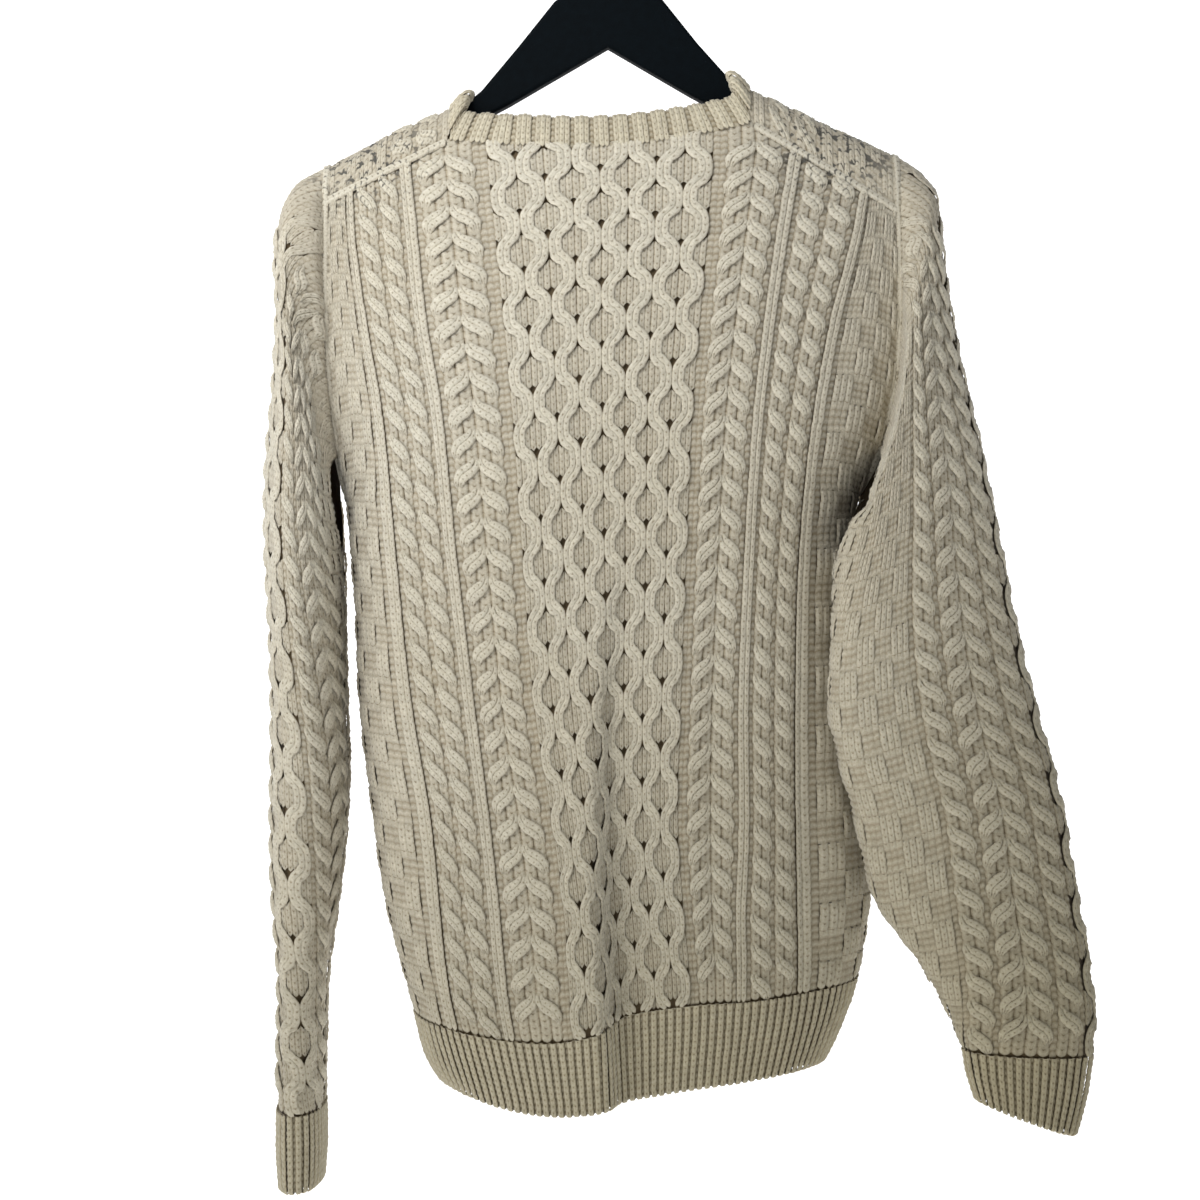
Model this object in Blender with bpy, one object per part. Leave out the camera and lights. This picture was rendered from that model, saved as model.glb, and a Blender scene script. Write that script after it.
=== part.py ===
"""Aran cable-knit cardigan hanging on a flat black hanger.

The side that the camera sees, the back of the garment, faces -Y. +X is to its right and
+Z is up. The origin is the inside top of the hanger's hook, where a rail carries it.
Sizes are written in millimetres and turned into metres when a mesh is made.
"""
import math

import bpy
import numpy as np

MM = 0.001

# Cloth thickness and the gap left at each seam
WALL = 3.0
RIB_WALL = 2.6
LABEL_WALL = 0.8
SEAM = 0.3
HEM_GAP = 0.5

# Heights of the main lines
UNDERARM_Z = -408.0
FRONT_NECK_Z = -235.0
LOWEST_Z = -830.0

# Raised knitting over the plain inside
CABLE_RISE = 3.4
RIB_RISE = 1.6
BASKET_RISE = 1.0
NECK_RIB_RISE = 1.1
EDGE_FADE = 9.0

# How square the body's cross-section is: 2 would be an ellipse
SQUARENESS = 2.5

# Shoulder line: x, height of its crest
SHOULDER = (
    (-215.0, -203.0),
    (-206.0, -197.0),
    (-186.0, -186.0),
    (-172.0, -178.5),
    (-146.0, -165.0),
    (-113.0, -151.0),
    (-104.0, -147.0),
    (-5.0, -141.0),
    (93.0, -134.0),
    (113.0, -143.5),
    (147.0, -159.0),
    (164.0, -166.0),
    (190.0, -178.5),
    (219.0, -198.0),
)
# The straight shoulder seams, which lie behind the crest: x, height
SHOULDER_SEAMS = (
    (-240.0, -238.0),
    (-104.0, -172.0),
    (93.0, -161.0),
    (240.0, -247.0),
)
NECK_LEFT_X = -104.0
NECK_RIGHT_X = 93.0

# Back neckline between the two neck points: x, height
BACK_NECK = (
    (-104.0, -172.0),
    (-60.0, -175.5),
    (-5.0, -177.0),
    (45.0, -171.5),
    (93.0, -161.0),
)

# Side outline: height, left x, right x; above the underarm it runs on inside the sleeves
SIDES = (
    (-830.0, -96.0, 122.0),
    (-806.0, -103.0, 128.0),
    (-780.0, -119.0, 143.0),
    (-744.0, -129.0, 159.0),
    (-677.0, -147.0, 173.0),
    (-610.0, -157.0, 173.0),
    (-543.0, -165.0, 169.0),
    (-476.0, -168.0, 164.0),
    (-440.0, -171.0, 164.0),
    (-408.0, -174.0, 166.0),
    (-385.0, -180.0, 180.0),
    (-345.0, -193.0, 200.0),
    (-275.0, -214.0, 222.0),
    (-200.0, -238.0, 243.0),
    (-120.0, -240.0, 245.0),
)

# Armhole seams: height, left x, right x
ARMHOLES = (
    (-408.0, -174.0, 166.0),
    (-370.0, -179.5, 180.0),
    (-328.0, -184.0, 189.0),
    (-280.0, -186.0, 192.0),
    (-235.0, -187.0, 192.0),
    (-170.0, -187.0, 191.0),
)

ARMHOLE_TOP_LEFT = -187.0
ARMHOLE_TOP_RIGHT = 191.5

# Depth of the garment below its shoulder line: drop from the crest, back, front
DEPTHS = (
    (0.0, 15.0, 15.0),
    (22.0, 20.5, 20.5),
    (60.0, 33.0, 31.0),
    (110.0, 47.0, 41.0),
    (170.0, 60.0, 51.0),
    (230.0, 68.0, 57.0),
    (330.0, 73.0, 61.0),
    (430.0, 76.0, 63.0),
    (530.0, 78.0, 64.0),
    (600.0, 74.0, 62.0),
    (660.0, 62.0, 56.0),
    (700.0, 56.0, 52.0),
)

# Where the knitted columns stand on the back: height, then the x of the outer rib, the
# inner rib and the honeycomb's edge on the left, and the same three on the right
WALES = (
    (-800.0, -86.0, -54.0, -21.0, 52.0, 78.0, 110.0),
    (-730.0, -104.0, -67.0, -27.0, 55.0, 84.0, 123.0),
    (-670.0, -111.0, -73.0, -31.0, 50.0, 84.0, 123.0),
    (-628.0, -115.0, -77.5, -36.5, 47.0, 86.0, 122.0),
    (-539.0, -130.0, -89.0, -50.5, 49.0, 86.0, 122.0),
    (-444.0, -140.0, -101.0, -58.0, 53.0, 90.0, 125.0),
    (-347.0, -150.0, -112.0, -66.0, 58.0, 97.0, 136.0),
    (-294.0, -160.0, -122.0, -71.5, 63.0, 104.0, 147.0),
    (-238.0, -169.0, -129.0, -78.0, 69.0, 113.0, 163.0),
    (-180.0, -173.0, -136.0, -85.0, 74.0, 124.0, 175.0),
)
# The same columns as stitches counted from the centre of the back
WALE_STITCHES = (-54.0, -41.0, -28.0, -17.0, 17.0, 28.0, 41.0, 54.0)
EDGE_STITCH = 54.0
# The fronts' columns: stitch, share of the half width; the bands begin at BAND_STITCH
FRONT_STITCHES = (17.0, 28.0, 41.0)
FRONT_SHARES = (0.36, 0.56, 0.80)
BAND_STITCH = 3.6

# The deep fold down the middle of the back: height, x, how far it steps in
CENTRE_FOLD = (
    (-830.0, 4.0, 8.0),
    (-790.0, 3.0, 10.0),
    (-740.0, 0.0, 12.5),
    (-670.0, -5.0, 12.0),
    (-600.0, -5.0, 9.0),
    (-540.0, -4.0, 5.5),
    (-480.0, 2.0, 2.0),
    (-430.0, 6.0, 0.0),
    (-120.0, 6.0, 0.0),
)
FOLD_EDGE = 5.0
FOLD_REACH = 42.0

# Soft troughs: side (-1 back, 1 front), x at its top, x at its foot, top, foot, width, depth
TROUGHS = (
    (-1, -128.0, -112.0, -380.0, -760.0, 17.0, 4.0),
    (-1, 66.0, 70.0, -420.0, -760.0, 15.0, 3.0),
    (-1, 132.0, 128.0, -520.0, -790.0, 14.0, 3.0),
    (1, -96.0, -78.0, -300.0, -790.0, 20.0, 7.0),
    (1, -44.0, -36.0, -420.0, -800.0, 14.0, 4.0),
    (1, 62.0, 70.0, -380.0, -800.0, 17.0, 5.0),
    (1, 112.0, 110.0, -300.0, -760.0, 18.0, 7.0),
)

# Where the ribbed hem begins and ends on the back, and on the front: x, upper, lower
BACK_HEM = (
    (-140.0, -745.0, -782.0),
    (-104.0, -752.0, -793.0),
    (-70.0, -756.0, -802.0),
    (-35.0, -756.0, -805.0),
    (-10.0, -750.0, -802.0),
    (12.0, -741.0, -797.0),
    (45.0, -734.0, -790.0),
    (90.0, -731.0, -784.0),
    (130.0, -727.0, -779.0),
    (165.0, -724.0, -776.0),
)
FRONT_HEM = (
    (-140.0, -745.0, -784.0),
    (-60.0, -748.0, -792.0),
    (10.0, -745.0, -793.0),
    (90.0, -736.0, -787.0),
    (165.0, -724.0, -778.0),
)

# Front bands and buttons
BAND_HALF = 15.0
FRONT_MIDDLE_TOP_X = -2.0
FRONT_MIDDLE_FOOT_X = 9.0
BAND_WALL = 2.8
BUTTON_COUNT = 7
BUTTON_RADIUS = 10.0
BUTTON_THICK = 4.4
BUTTON_DISH = 1.2

# Neckband: its width, narrower and lifted where it passes over the shoulders
NECKBAND_WIDTH = 22.0
NECKBAND_SIDE_WIDTH = 17.0
NECKBAND_SIDE_LIFT = 1.7
NECKBAND_START = 1.2
NECKBAND_RIB_PITCH = 10.0

# Sleeve rings past the armhole: outer x, y, z, inner x, y, z, half depth
LEFT_SLEEVE = (
    (-196.0, 0.0, -190.5, -176.0, 0.0, -412.0, 33.0),
    (-207.0, 0.0, -197.5, -177.0, 0.0, -416.0, 39.0),
    (-216.0, 0.0, -212.0, -177.5, 0.0, -421.0, 45.0),
    (-219.5, -1.0, -235.0, -178.0, 0.0, -428.0, 50.0),
    (-218.0, -2.0, -275.0, -178.0, 0.0, -438.0, 55.0),
    (-220.0, -2.0, -329.0, -178.0, 0.0, -453.0, 59.0),
    (-225.0, -2.0, -390.0, -178.0, 0.0, -476.0, 61.0),
    (-225.0, -2.0, -440.0, -177.5, 0.0, -504.0, 61.0),
    (-222.0, -3.0, -500.0, -176.5, 0.0, -545.0, 59.0),
    (-221.0, -3.0, -560.0, -175.0, 0.0, -590.0, 56.0),
    (-222.0, -3.0, -620.0, -177.5, 0.0, -640.0, 52.0),
    (-221.0, -2.0, -670.0, -182.5, 0.0, -682.0, 49.0),
    (-217.0, -2.0, -720.0, -189.0, 0.0, -728.0, 46.0),
    (-218.0, 0.0, -770.0, -190.5, 0.0, -775.0, 42.0),
    (-219.0, 0.0, -812.0, -191.0, 0.0, -812.0, 36.0),
)
LEFT_CUFF = (
    (-219.0, 0.0, -812.3, -191.0, 0.0, -812.3, 36.0),
    (-219.5, 0.0, -838.0, -190.5, 0.0, -838.0, 34.0),
    (-218.0, 0.0, -864.0, -192.0, 0.0, -862.0, 33.0),
)
RIGHT_SLEEVE = (
    (204.0, -1.0, -187.5, 168.0, -6.0, -415.0, 32.0),
    (214.5, -3.0, -198.5, 168.5, -17.0, -421.0, 35.0),
    (219.0, -6.0, -222.0, 168.0, -29.0, -428.0, 37.0),
    (222.0, -11.0, -258.0, 164.0, -42.0, -437.0, 37.0),
    (230.0, -18.0, -313.0, 157.0, -54.0, -452.0, 35.0),
    (243.0, -27.0, -376.0, 149.0, -62.0, -476.0, 32.0),
    (254.0, -33.0, -436.0, 143.0, -65.0, -508.0, 30.0),
    (264.0, -38.0, -492.0, 141.0, -66.0, -546.0, 29.0),
    (277.0, -42.0, -548.0, 148.0, -64.0, -580.0, 28.0),
    (291.0, -45.0, -602.0, 158.0, -60.0, -615.0, 28.0),
    (300.0, -47.0, -656.0, 172.0, -56.0, -668.0, 27.0),
    (308.5, -48.0, -706.0, 201.0, -52.0, -710.0, 25.0),
    (312.5, -48.0, -742.0, 220.0, -48.0, -742.0, 23.0),
    (311.5, -48.0, -768.0, 230.0, -48.0, -765.0, 21.0),
)
RIGHT_CUFF = (
    (311.5, -48.0, -768.3, 230.0, -48.0, -765.3, 21.0),
    (307.5, -48.0, -794.0, 233.0, -48.0, -781.0, 20.0),
    (301.0, -48.0, -819.0, 238.0, -48.0, -797.0, 19.0),
)

# Hanger: a flat arm with a raised hub; the upper edge from the hub to the cloth
HANGER_HALF_THICK = 5.5
HANGER_BEVEL = 2.4
# How far the arms' upper edge lies under the shoulder line: x, distance
HANGER_TUCK = (
    (-203.0, 11.0),
    (-190.0, 7.5),
    (-172.0, 5.8),
    (-146.0, 5.8),
    (-113.0, 6.2),
    (113.0, 6.2),
    (147.0, 5.8),
    (164.0, 5.8),
    (190.0, 7.5),
    (203.0, 11.0),
)
ARM_UPPER = (
    (-100.0, -150.5),
    (-92.0, -141.5),
    (-84.5, -135.3),
    (-60.0, -106.0),
    (-36.0, -76.0),
    (-24.0, -66.0),
    (24.0, -66.0),
    (36.0, -74.0),
    (60.0, -104.0),
    (78.0, -124.0),
    (84.0, -130.0),
    (91.0, -139.5),
)
ARM_UNDER = (
    (-205.0, -221.0),
    (-140.0, -184.0),
    (-66.0, -145.0),
    (0.0, -106.5),
    (54.0, -138.0),
    (135.0, -182.0),
    (203.0, -217.0),
)
HOOK_WIRE = 2.1
HOOK_RADIUS = 21.0
HOOK_TURN = math.radians(205.0)
HOOK_STEPS = 18
STEM_STEPS = 6
STEM_TOP_Z = -54.0
HUB_TOP_Z = -66.0

# Dark neck label inside the back neck, seen through the open stitches
LABEL_BOX = (-31.0, 20.0, -222.0, -181.0)


def column(table, index):
    """One named column of a table, as an array."""
    return np.array([row[index] for row in table], dtype=float)


def smooth_table(table, key, index):
    """Value of a column at key, on a smooth curve through the table's rows."""
    keys = column(table, 0)
    values = column(table, index)
    if keys[0] > keys[-1]:
        keys = keys[::-1]
        values = values[::-1]
    slopes = np.gradient(values, keys)
    key = np.clip(np.asarray(key, dtype=float), keys[0], keys[-1])
    low = np.clip(np.searchsorted(keys, key) - 1, 0, len(keys) - 2)
    span = keys[low + 1] - keys[low]
    part = (key - keys[low]) / span
    first = (1 + 2 * part) * (1 - part) ** 2 * values[low]
    second = part * (1 - part) ** 2 * span * slopes[low]
    third = part ** 2 * (3 - 2 * part) * values[low + 1]
    fourth = part ** 2 * (part - 1) * span * slopes[low + 1]
    return first + second + third + fourth


def linear_table(table, key, index):
    """Value of a column at key, straight between the table's rows."""
    return np.interp(key, column(table, 0), column(table, index))


def crest(x):
    return linear_table(SHOULDER, x, 1)


def shoulder_seam(x):
    return linear_table(SHOULDER_SEAMS, x, 1)


def back_top(x):
    """Upper edge of the back: the two shoulder seams and the neckline between them."""
    x = np.asarray(x, dtype=float)
    shoulder = shoulder_seam(x)
    neckline = smooth_table(BACK_NECK, x, 1)
    inside = (x > NECK_LEFT_X) & (x < NECK_RIGHT_X)
    return np.where(inside, neckline, shoulder)


def trough_depth(side, x, z):
    """Sum of the soft troughs on one side of the body."""
    total = np.zeros(np.broadcast(x, z).shape)
    for trough_side, x_top, x_foot, z_top, z_foot, width, depth in TROUGHS:
        if trough_side != side:
            continue
        along = np.clip((z - z_top) / (z_foot - z_top), 0.0, 1.0)
        middle = x_top + (x_foot - x_top) * along
        swell = np.sin(math.pi * np.clip(along, 0.0, 1.0)) ** 0.7
        total = total + depth * swell * np.exp(-((x - middle) / width) ** 2)
    return total


def centre_fold(x, z):
    """Step of the back's centre fold: proud on its left, sunk on its right."""
    middle = smooth_table(CENTRE_FOLD, z, 1)
    depth = np.maximum(smooth_table(CENTRE_FOLD, z, 2), 0.0)
    away = x - middle
    return depth * np.tanh(away / FOLD_EDGE) * np.exp(-(np.abs(away) / FOLD_REACH) ** 1.5)


def side_middle(z):
    return 0.5 * (smooth_table(SIDES, z, 1) + smooth_table(SIDES, z, 2))


def side_half(z):
    return 0.5 * (smooth_table(SIDES, z, 2) - smooth_table(SIDES, z, 1))


def body_y(side, x, z):
    """Depth of the body's outer face at x and z; side is -1 for the back, 1 for the front."""
    x = np.asarray(x, dtype=float)
    z = np.asarray(z, dtype=float)
    drop = np.maximum(crest(x) - z, 0.0)
    depth = smooth_table(DEPTHS, drop, 1 if side < 0 else 2)
    share = np.clip(np.abs((x - side_middle(z)) / side_half(z)), 0.0, 1.0)
    round_off = np.maximum(1.0 - share ** SQUARENESS, 0.0) ** (1.0 / SQUARENESS)
    soft = round_off ** 2
    inward = trough_depth(side, x, z)
    if side < 0:
        inward = inward + centre_fold(x, z)
    return side * (depth * round_off - inward * soft)


def edge_x(z, right):
    """Side seam below the underarm and armhole above it."""
    index = 2 if right else 1
    below = smooth_table(SIDES, z, index)
    above = smooth_table(ARMHOLES, z, index)
    return np.where(np.asarray(z) > UNDERARM_Z, above, below)


SECTION_POINTS = 361
LOOKUP_STEP = 2.0
STITCH_STEP = 0.5


def front_middle(z):
    """Centre line of the front bands, straight from the neck to the hem."""
    share = (np.asarray(z, dtype=float) - FRONT_NECK_Z) / (LOWEST_Z - FRONT_NECK_Z)
    return FRONT_MIDDLE_TOP_X + (FRONT_MIDDLE_FOOT_X - FRONT_MIDDLE_TOP_X) * share


def section_line(side, z):
    """One dense horizontal section of the body from its left edge to its right edge."""
    angle = np.linspace(0.0, math.pi, SECTION_POINTS)
    power = 2.0 / SQUARENESS
    cosine = np.cos(angle)
    x = side_middle(z) - side_half(z) * np.sign(cosine) * np.abs(cosine) ** power
    y = body_y(side, x, z)
    return x, y


def wale_nodes(side, z):
    """The knitted columns' guides at one height: their stitches and their x."""
    left = float(edge_x(z, False))
    right = float(edge_x(z, True))
    if side < 0:
        inner = [float(smooth_table(WALES, z, index)) for index in range(1, 7)]
        return WALE_STITCHES, np.array([left] + inner + [right])
    middle = float(front_middle(z))
    reach = min(middle - left, right - middle)
    outward = [BAND_HALF] + [share * reach for share in FRONT_SHARES]
    stitch = [BAND_STITCH] + list(FRONT_STITCHES) + [EDGE_STITCH]
    places = [left] + [middle - value for value in reversed(outward)]
    places += [middle + value for value in outward] + [right]
    return [-value for value in reversed(stitch)] + stitch, np.array(places)


def build_lookup(side):
    """Table of x and y over stitches and heights, even along the cloth."""
    heights = np.arange(LOWEST_Z, -130.0, LOOKUP_STEP)
    stitches = np.arange(-EDGE_STITCH, EDGE_STITCH + STITCH_STEP / 2, STITCH_STEP)
    grid_x = np.zeros((len(heights), len(stitches)))
    grid_y = np.zeros_like(grid_x)
    for row, z in enumerate(heights):
        x, y = section_line(side, z)
        steps = np.hypot(np.diff(x), np.diff(y))
        length = np.concatenate(([0.0], np.cumsum(steps)))
        guides, places = wale_nodes(side, z)
        along = np.interp(stitches, guides, np.interp(places, x, length))
        grid_x[row] = np.interp(along, length, x)
        grid_y[row] = np.interp(along, length, y)
    return heights, stitches, grid_x, grid_y


LOOKUPS = {-1: build_lookup(-1), 1: build_lookup(1)}


def body_point(side, stitch, z):
    """Point of the body's outer face at a stitch and a height, as arrays."""
    heights, stitches, grid_x, grid_y = LOOKUPS[side]
    stitch, z = np.broadcast_arrays(np.asarray(stitch, float), np.asarray(z, float))
    across = np.clip((stitch - stitches[0]) / STITCH_STEP, 0, len(stitches) - 1.001)
    up = np.clip((z - heights[0]) / LOOKUP_STEP, 0, len(heights) - 1.001)
    i = up.astype(int)
    j = across.astype(int)
    fi = up - i
    fj = across - j

    def mix(grid):
        low = grid[i, j] * (1 - fj) + grid[i, j + 1] * fj
        high = grid[i + 1, j] * (1 - fj) + grid[i + 1, j + 1] * fj
        return low * (1 - fi) + high * fi

    return np.stack([mix(grid_x), mix(grid_y), z], axis=-1)


def body_normal(side, stitch, z):
    """Outward unit normal of the body's face, the same for every piece that meets there."""
    step = 2.0
    across = body_point(side, stitch + STITCH_STEP, z) - body_point(side, stitch - STITCH_STEP, z)
    up = body_point(side, stitch, z + step) - body_point(side, stitch, z - step)
    normal = -side * np.cross(across, up)
    return normal / np.linalg.norm(normal, axis=-1, keepdims=True)


def grid_normals(points, closed, flip):
    """Unit normals of a grid of points (rows, columns, 3)."""
    if closed:
        ahead = np.roll(points, -1, axis=1)
        behind = np.roll(points, 1, axis=1)
        across = ahead - behind
    else:
        across = np.gradient(points, axis=1)
    up = np.gradient(points, axis=0)
    normal = np.cross(across, up)
    length = np.linalg.norm(normal, axis=2, keepdims=True)
    normal = normal / np.maximum(length, 1e-9)
    return -normal if flip else normal


# Mesh making

part_collection = bpy.data.collections.new("cardigan_on_hanger")


def clear_scene():
    for obj in list(bpy.data.objects):
        bpy.data.objects.remove(obj, do_unlink=True)
    bpy.context.scene.collection.children.link(part_collection)


def plain_material(name, colour, roughness, metallic=0.0):
    material = bpy.data.materials.new(name)
    material.use_nodes = True
    shader = material.node_tree.nodes["Principled BSDF"]
    shader.inputs["Base Color"].default_value = (*colour, 1.0)
    shader.inputs["Roughness"].default_value = roughness
    shader.inputs["Metallic"].default_value = metallic
    return material


def add_mesh(name, points, faces, material):
    mesh = bpy.data.meshes.new(name)
    mesh.from_pydata([tuple(MM * value for value in point) for point in points], [], faces)
    mesh.validate()
    mesh.shade_smooth()
    obj = bpy.data.objects.new(name, mesh)
    obj.data.materials.append(material)
    part_collection.objects.link(obj)
    return obj


def bridge(first, second):
    """Triangles between two lines whose ends face each other. Each line lists its vertices
    with their place along the seam."""
    faces = []
    i = 0
    j = 0
    last_i = len(first) - 1
    last_j = len(second) - 1
    while i < last_i or j < last_j:
        place_i = first[i + 1][1] if i < last_i else math.inf
        place_j = second[j + 1][1] if j < last_j else math.inf
        if place_i <= place_j:
            faces.append((first[i][0], first[i + 1][0], second[j][0]))
            i += 1
        else:
            faces.append((first[i][0], second[j + 1][0], second[j][0]))
            j += 1
    return faces


def add_wall(name, outer, inner, inner_rows, inner_cols, closed, flip, material):
    """Closed solid between an outer grid and an inner grid that keeps some of its rows and
    columns."""
    rows, columns = outer.shape[:2]
    kept_rows, kept_columns = inner.shape[:2]
    points = [tuple(point) for point in outer.reshape(-1, 3)]
    start = len(points)
    points += [tuple(point) for point in inner.reshape(-1, 3)]

    def out(row, col):
        return row * columns + col % columns

    def inn(row, col):
        return start + row * kept_columns + col % kept_columns

    faces = []
    wrap = 0 if closed else 1
    for row in range(rows - 1):
        for col in range(columns - wrap):
            faces.append((out(row, col), out(row, col + 1), out(row + 1, col + 1), out(row + 1, col)))
    for row in range(kept_rows - 1):
        for col in range(kept_columns - wrap):
            faces.append((inn(row, col + 1), inn(row, col), inn(row + 1, col), inn(row + 1, col + 1)))
    end = 1 if closed else 0
    col_places = list(inner_cols) + [columns] * end
    foot_out = [(out(0, col), col) for col in range(columns + end)]
    foot_in = [(inn(0, col), place) for col, place in enumerate(col_places)]
    head_out = [(out(rows - 1, col), col) for col in range(columns + end)]
    head_in = [(inn(kept_rows - 1, col), place) for col, place in enumerate(col_places)]
    faces += [tuple(reversed(face)) for face in bridge(foot_out, foot_in)]
    faces += bridge(head_out, head_in)
    if not closed:
        left_out = [(out(row, 0), row) for row in range(rows)]
        left_in = [(inn(row, 0), place) for row, place in enumerate(inner_rows)]
        right_out = [(out(row, columns - 1), row) for row in range(rows)]
        right_in = [(inn(row, kept_columns - 1), place) for row, place in enumerate(inner_rows)]
        faces += bridge(left_out, left_in)
        faces += [tuple(reversed(face)) for face in bridge(right_out, right_in)]
    if flip:
        faces = [tuple(reversed(face)) for face in faces]
    return add_mesh(name, points, faces, material)


def spaced(count, step):
    """Every step-th index below count, with the last one always kept."""
    picks = list(range(0, count - 1, step))
    if len(picks) > 1 and count - 1 - picks[-1] < step / 2:
        picks.pop()
    return picks + [count - 1]


def edge_fade(base):
    """Raised knitting dies out towards a panel's side edges."""
    from_left = np.linalg.norm(base - base[:, :1], axis=2)
    from_right = np.linalg.norm(base - base[:, -1:], axis=2)
    return np.clip(np.minimum(from_left, from_right) / EDGE_FADE, 0.0, 1.0)


def close_rows(base, near, far, kept=0):
    """Inner rows of a panel: apart below the armholes, closer beside them, and every one of
    the last kept rows."""
    middle = base.shape[1] // 2
    count = base.shape[0]
    picks = [0]
    for row in range(1, count - 1):
        step = near if base[row, middle, 2] > UNDERARM_Z - 20.0 else far
        if row >= count - kept or row - picks[-1] >= step:
            picks.append(row)
    return picks + [count - 1]


def cloth_wall(name, base, rise, thick, closed, flip, row_step, col_step, material, normal=None,
               half=0, settle=None):
    """Wall of a grid of cloth: raised outside, plain inside, kept to its half of the body."""
    if normal is None:
        normal = grid_normals(base, closed, flip)
    if not closed:
        rise = rise * edge_fade(base)
    outer = base + normal * rise[..., None]
    inside = base - normal * thick
    if half:
        edges = inside[:half, :, 1]
        side = 1.0 if base[0, base.shape[1] // 2, 1] > 0 else -1.0
        inside[:half, :, 1] = side * np.maximum(side * edges, SEAM / 2)
    if settle:
        inside = settle(inside)
    rows = spaced(base.shape[0], row_step) if isinstance(row_step, int) else row_step
    cols = spaced(base.shape[1], col_step) if isinstance(col_step, int) else col_step
    if closed:
        cols = list(range(0, base.shape[1], col_step))
    return add_wall(name, outer, inside[rows][:, cols], rows, cols, closed, flip, material)


# Knitted columns of the back: stitch, how far its rows are shifted up, kind
def rope_columns(left):
    """Six columns of a pair of ropes whose strands run down to the right."""
    slant = 8.5
    kinds = []
    for first in (left, left + 5.0):
        kinds.append((first + 0.2, slant, "rope_side"))
        kinds.append((first + 2.2, 0.0, "rope"))
        kinds.append((first + 4.2, -slant, "rope_side"))
    return kinds


def horseshoe_columns(middle):
    point = 6.5
    return [
        (middle - 4.3, -point, "rope_side"),
        (middle - 2.2, 0.0, "rope"),
        (middle, point, "rope"),
        (middle + 2.2, 0.0, "rope"),
        (middle + 4.3, -point, "rope_side"),
    ]


def back_columns():
    columns = [(-54.0, 0.0, "edge"), (-50.0, 0.0, "basket"), (-46.0, 0.0, "basket_off")]
    columns += [(-42.2, 0.0, "low"), (-41.0, 0.0, "rib")]
    columns += rope_columns(-39.8)
    columns += [(-29.2, 0.0, "low"), (-28.0, 0.0, "rib")]
    columns += horseshoe_columns(-22.0)
    columns += [(float(stitch), 0.0, "comb") for stitch in range(-16, 17, 2)]
    columns += horseshoe_columns(22.0)
    columns += [(28.0, 0.0, "rib"), (29.2, 0.0, "low")]
    columns += rope_columns(30.4)
    columns += [(41.0, 0.0, "rib"), (42.2, 0.0, "low")]
    columns += [(46.0, 0.0, "basket_off"), (50.0, 0.0, "basket"), (54.0, 0.0, "edge")]
    return columns


def front_columns():
    """Columns of one front from its side seam to its front band, in stitches from the centre."""
    columns = [(54.0, 0.0, "edge"), (48.5, 0.0, "basket"), (42.5, 0.0, "low"), (41.0, 0.0, "rib")]
    columns += [(38.6, 5.0, "rope"), (35.0, -5.0, "low"), (33.6, 5.0, "rope"), (30.0, -5.0, "low")]
    columns += [(28.0, 0.0, "rib"), (26.0, -5.0, "rope_side"), (22.0, 5.0, "rope")]
    columns += [(18.0, -5.0, "rope_side")]
    columns += [(float(stitch), 0.0, "comb") for stitch in (16, 14, 12, 10, 8)]
    return columns + [(6.0, 0.0, "low"), (BAND_STITCH, 0.0, "edge")]


def column_rise(kind, stitch, row):
    """Height of the raised knitting at one column and row of the grid."""
    odd = row % 2
    if kind == "rib":
        return RIB_RISE
    if kind == "rope":
        return CABLE_RISE * (0.35 if odd else 1.0)
    if kind == "rope_side":
        return CABLE_RISE * (0.1 if odd else 0.55)
    if kind == "basket":
        return BASKET_RISE * (row // 2 % 2)
    if kind == "basket_off":
        return BASKET_RISE * (1 - row // 2 % 2)
    if kind == "comb":
        place = round(stitch / 2.0) % 4
        phase = row % 4
        closed_up = {0: 1.0, 1: 0.5, 2: 0.0, 3: 0.5}
        between = {0: 0.25, 1: 1.0, 2: 0.25, 3: 1.0}
        if phase == 0:
            return CABLE_RISE * closed_up[place]
        if phase == 2:
            return CABLE_RISE * closed_up[(place + 2) % 4]
        return CABLE_RISE * between[place]
    return 0.0


def grid_rise(columns, rows):
    """Raised knitting over a whole grid, plain along its edges."""
    rise = np.zeros((rows, len(columns)))
    for col, (stitch, _, kind) in enumerate(columns):
        for row in range(1, rows - 1):
            rise[row, col] = column_rise(kind, stitch, row)
    return rise


def shift_fade(share, rows):
    """Rows bend into the knitting's slants away from the panel's upper and lower edges."""
    near = np.minimum(share, 1.0 - share) * (rows - 1)
    return np.clip(near / 2.0, 0.0, 1.0)


BACK_ROWS = 51
INNER_FOLD_STITCHES = 6.0


def column_top_z(side, stitch):
    """Upper edge of the back at a stitch, found where the column meets it."""
    z = np.full(len(stitch), -180.0)
    for _ in range(12):
        x = body_point(side, stitch, z)[:, 0]
        z = 0.5 * z + 0.5 * back_top(x)
    return z


def column_foot_z(side, stitch, table, index):
    """Where a column meets the hem's seam or lower edge."""
    z = np.full(len(stitch), -750.0)
    for _ in range(12):
        x = body_point(side, stitch, z)[:, 0]
        z = 0.5 * z + 0.5 * smooth_table(table, x, index)
    return z


def back_inner_columns(columns):
    """Inner columns of the back: every one beside the centre fold, one in three elsewhere."""
    last = len(columns) - 1
    picks = []
    for index, (stitch, _, _) in enumerate(columns):
        if index in (0, last) or abs(stitch) <= INNER_FOLD_STITCHES or index % 3 == 0:
            picks.append(index)
    return picks


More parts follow.
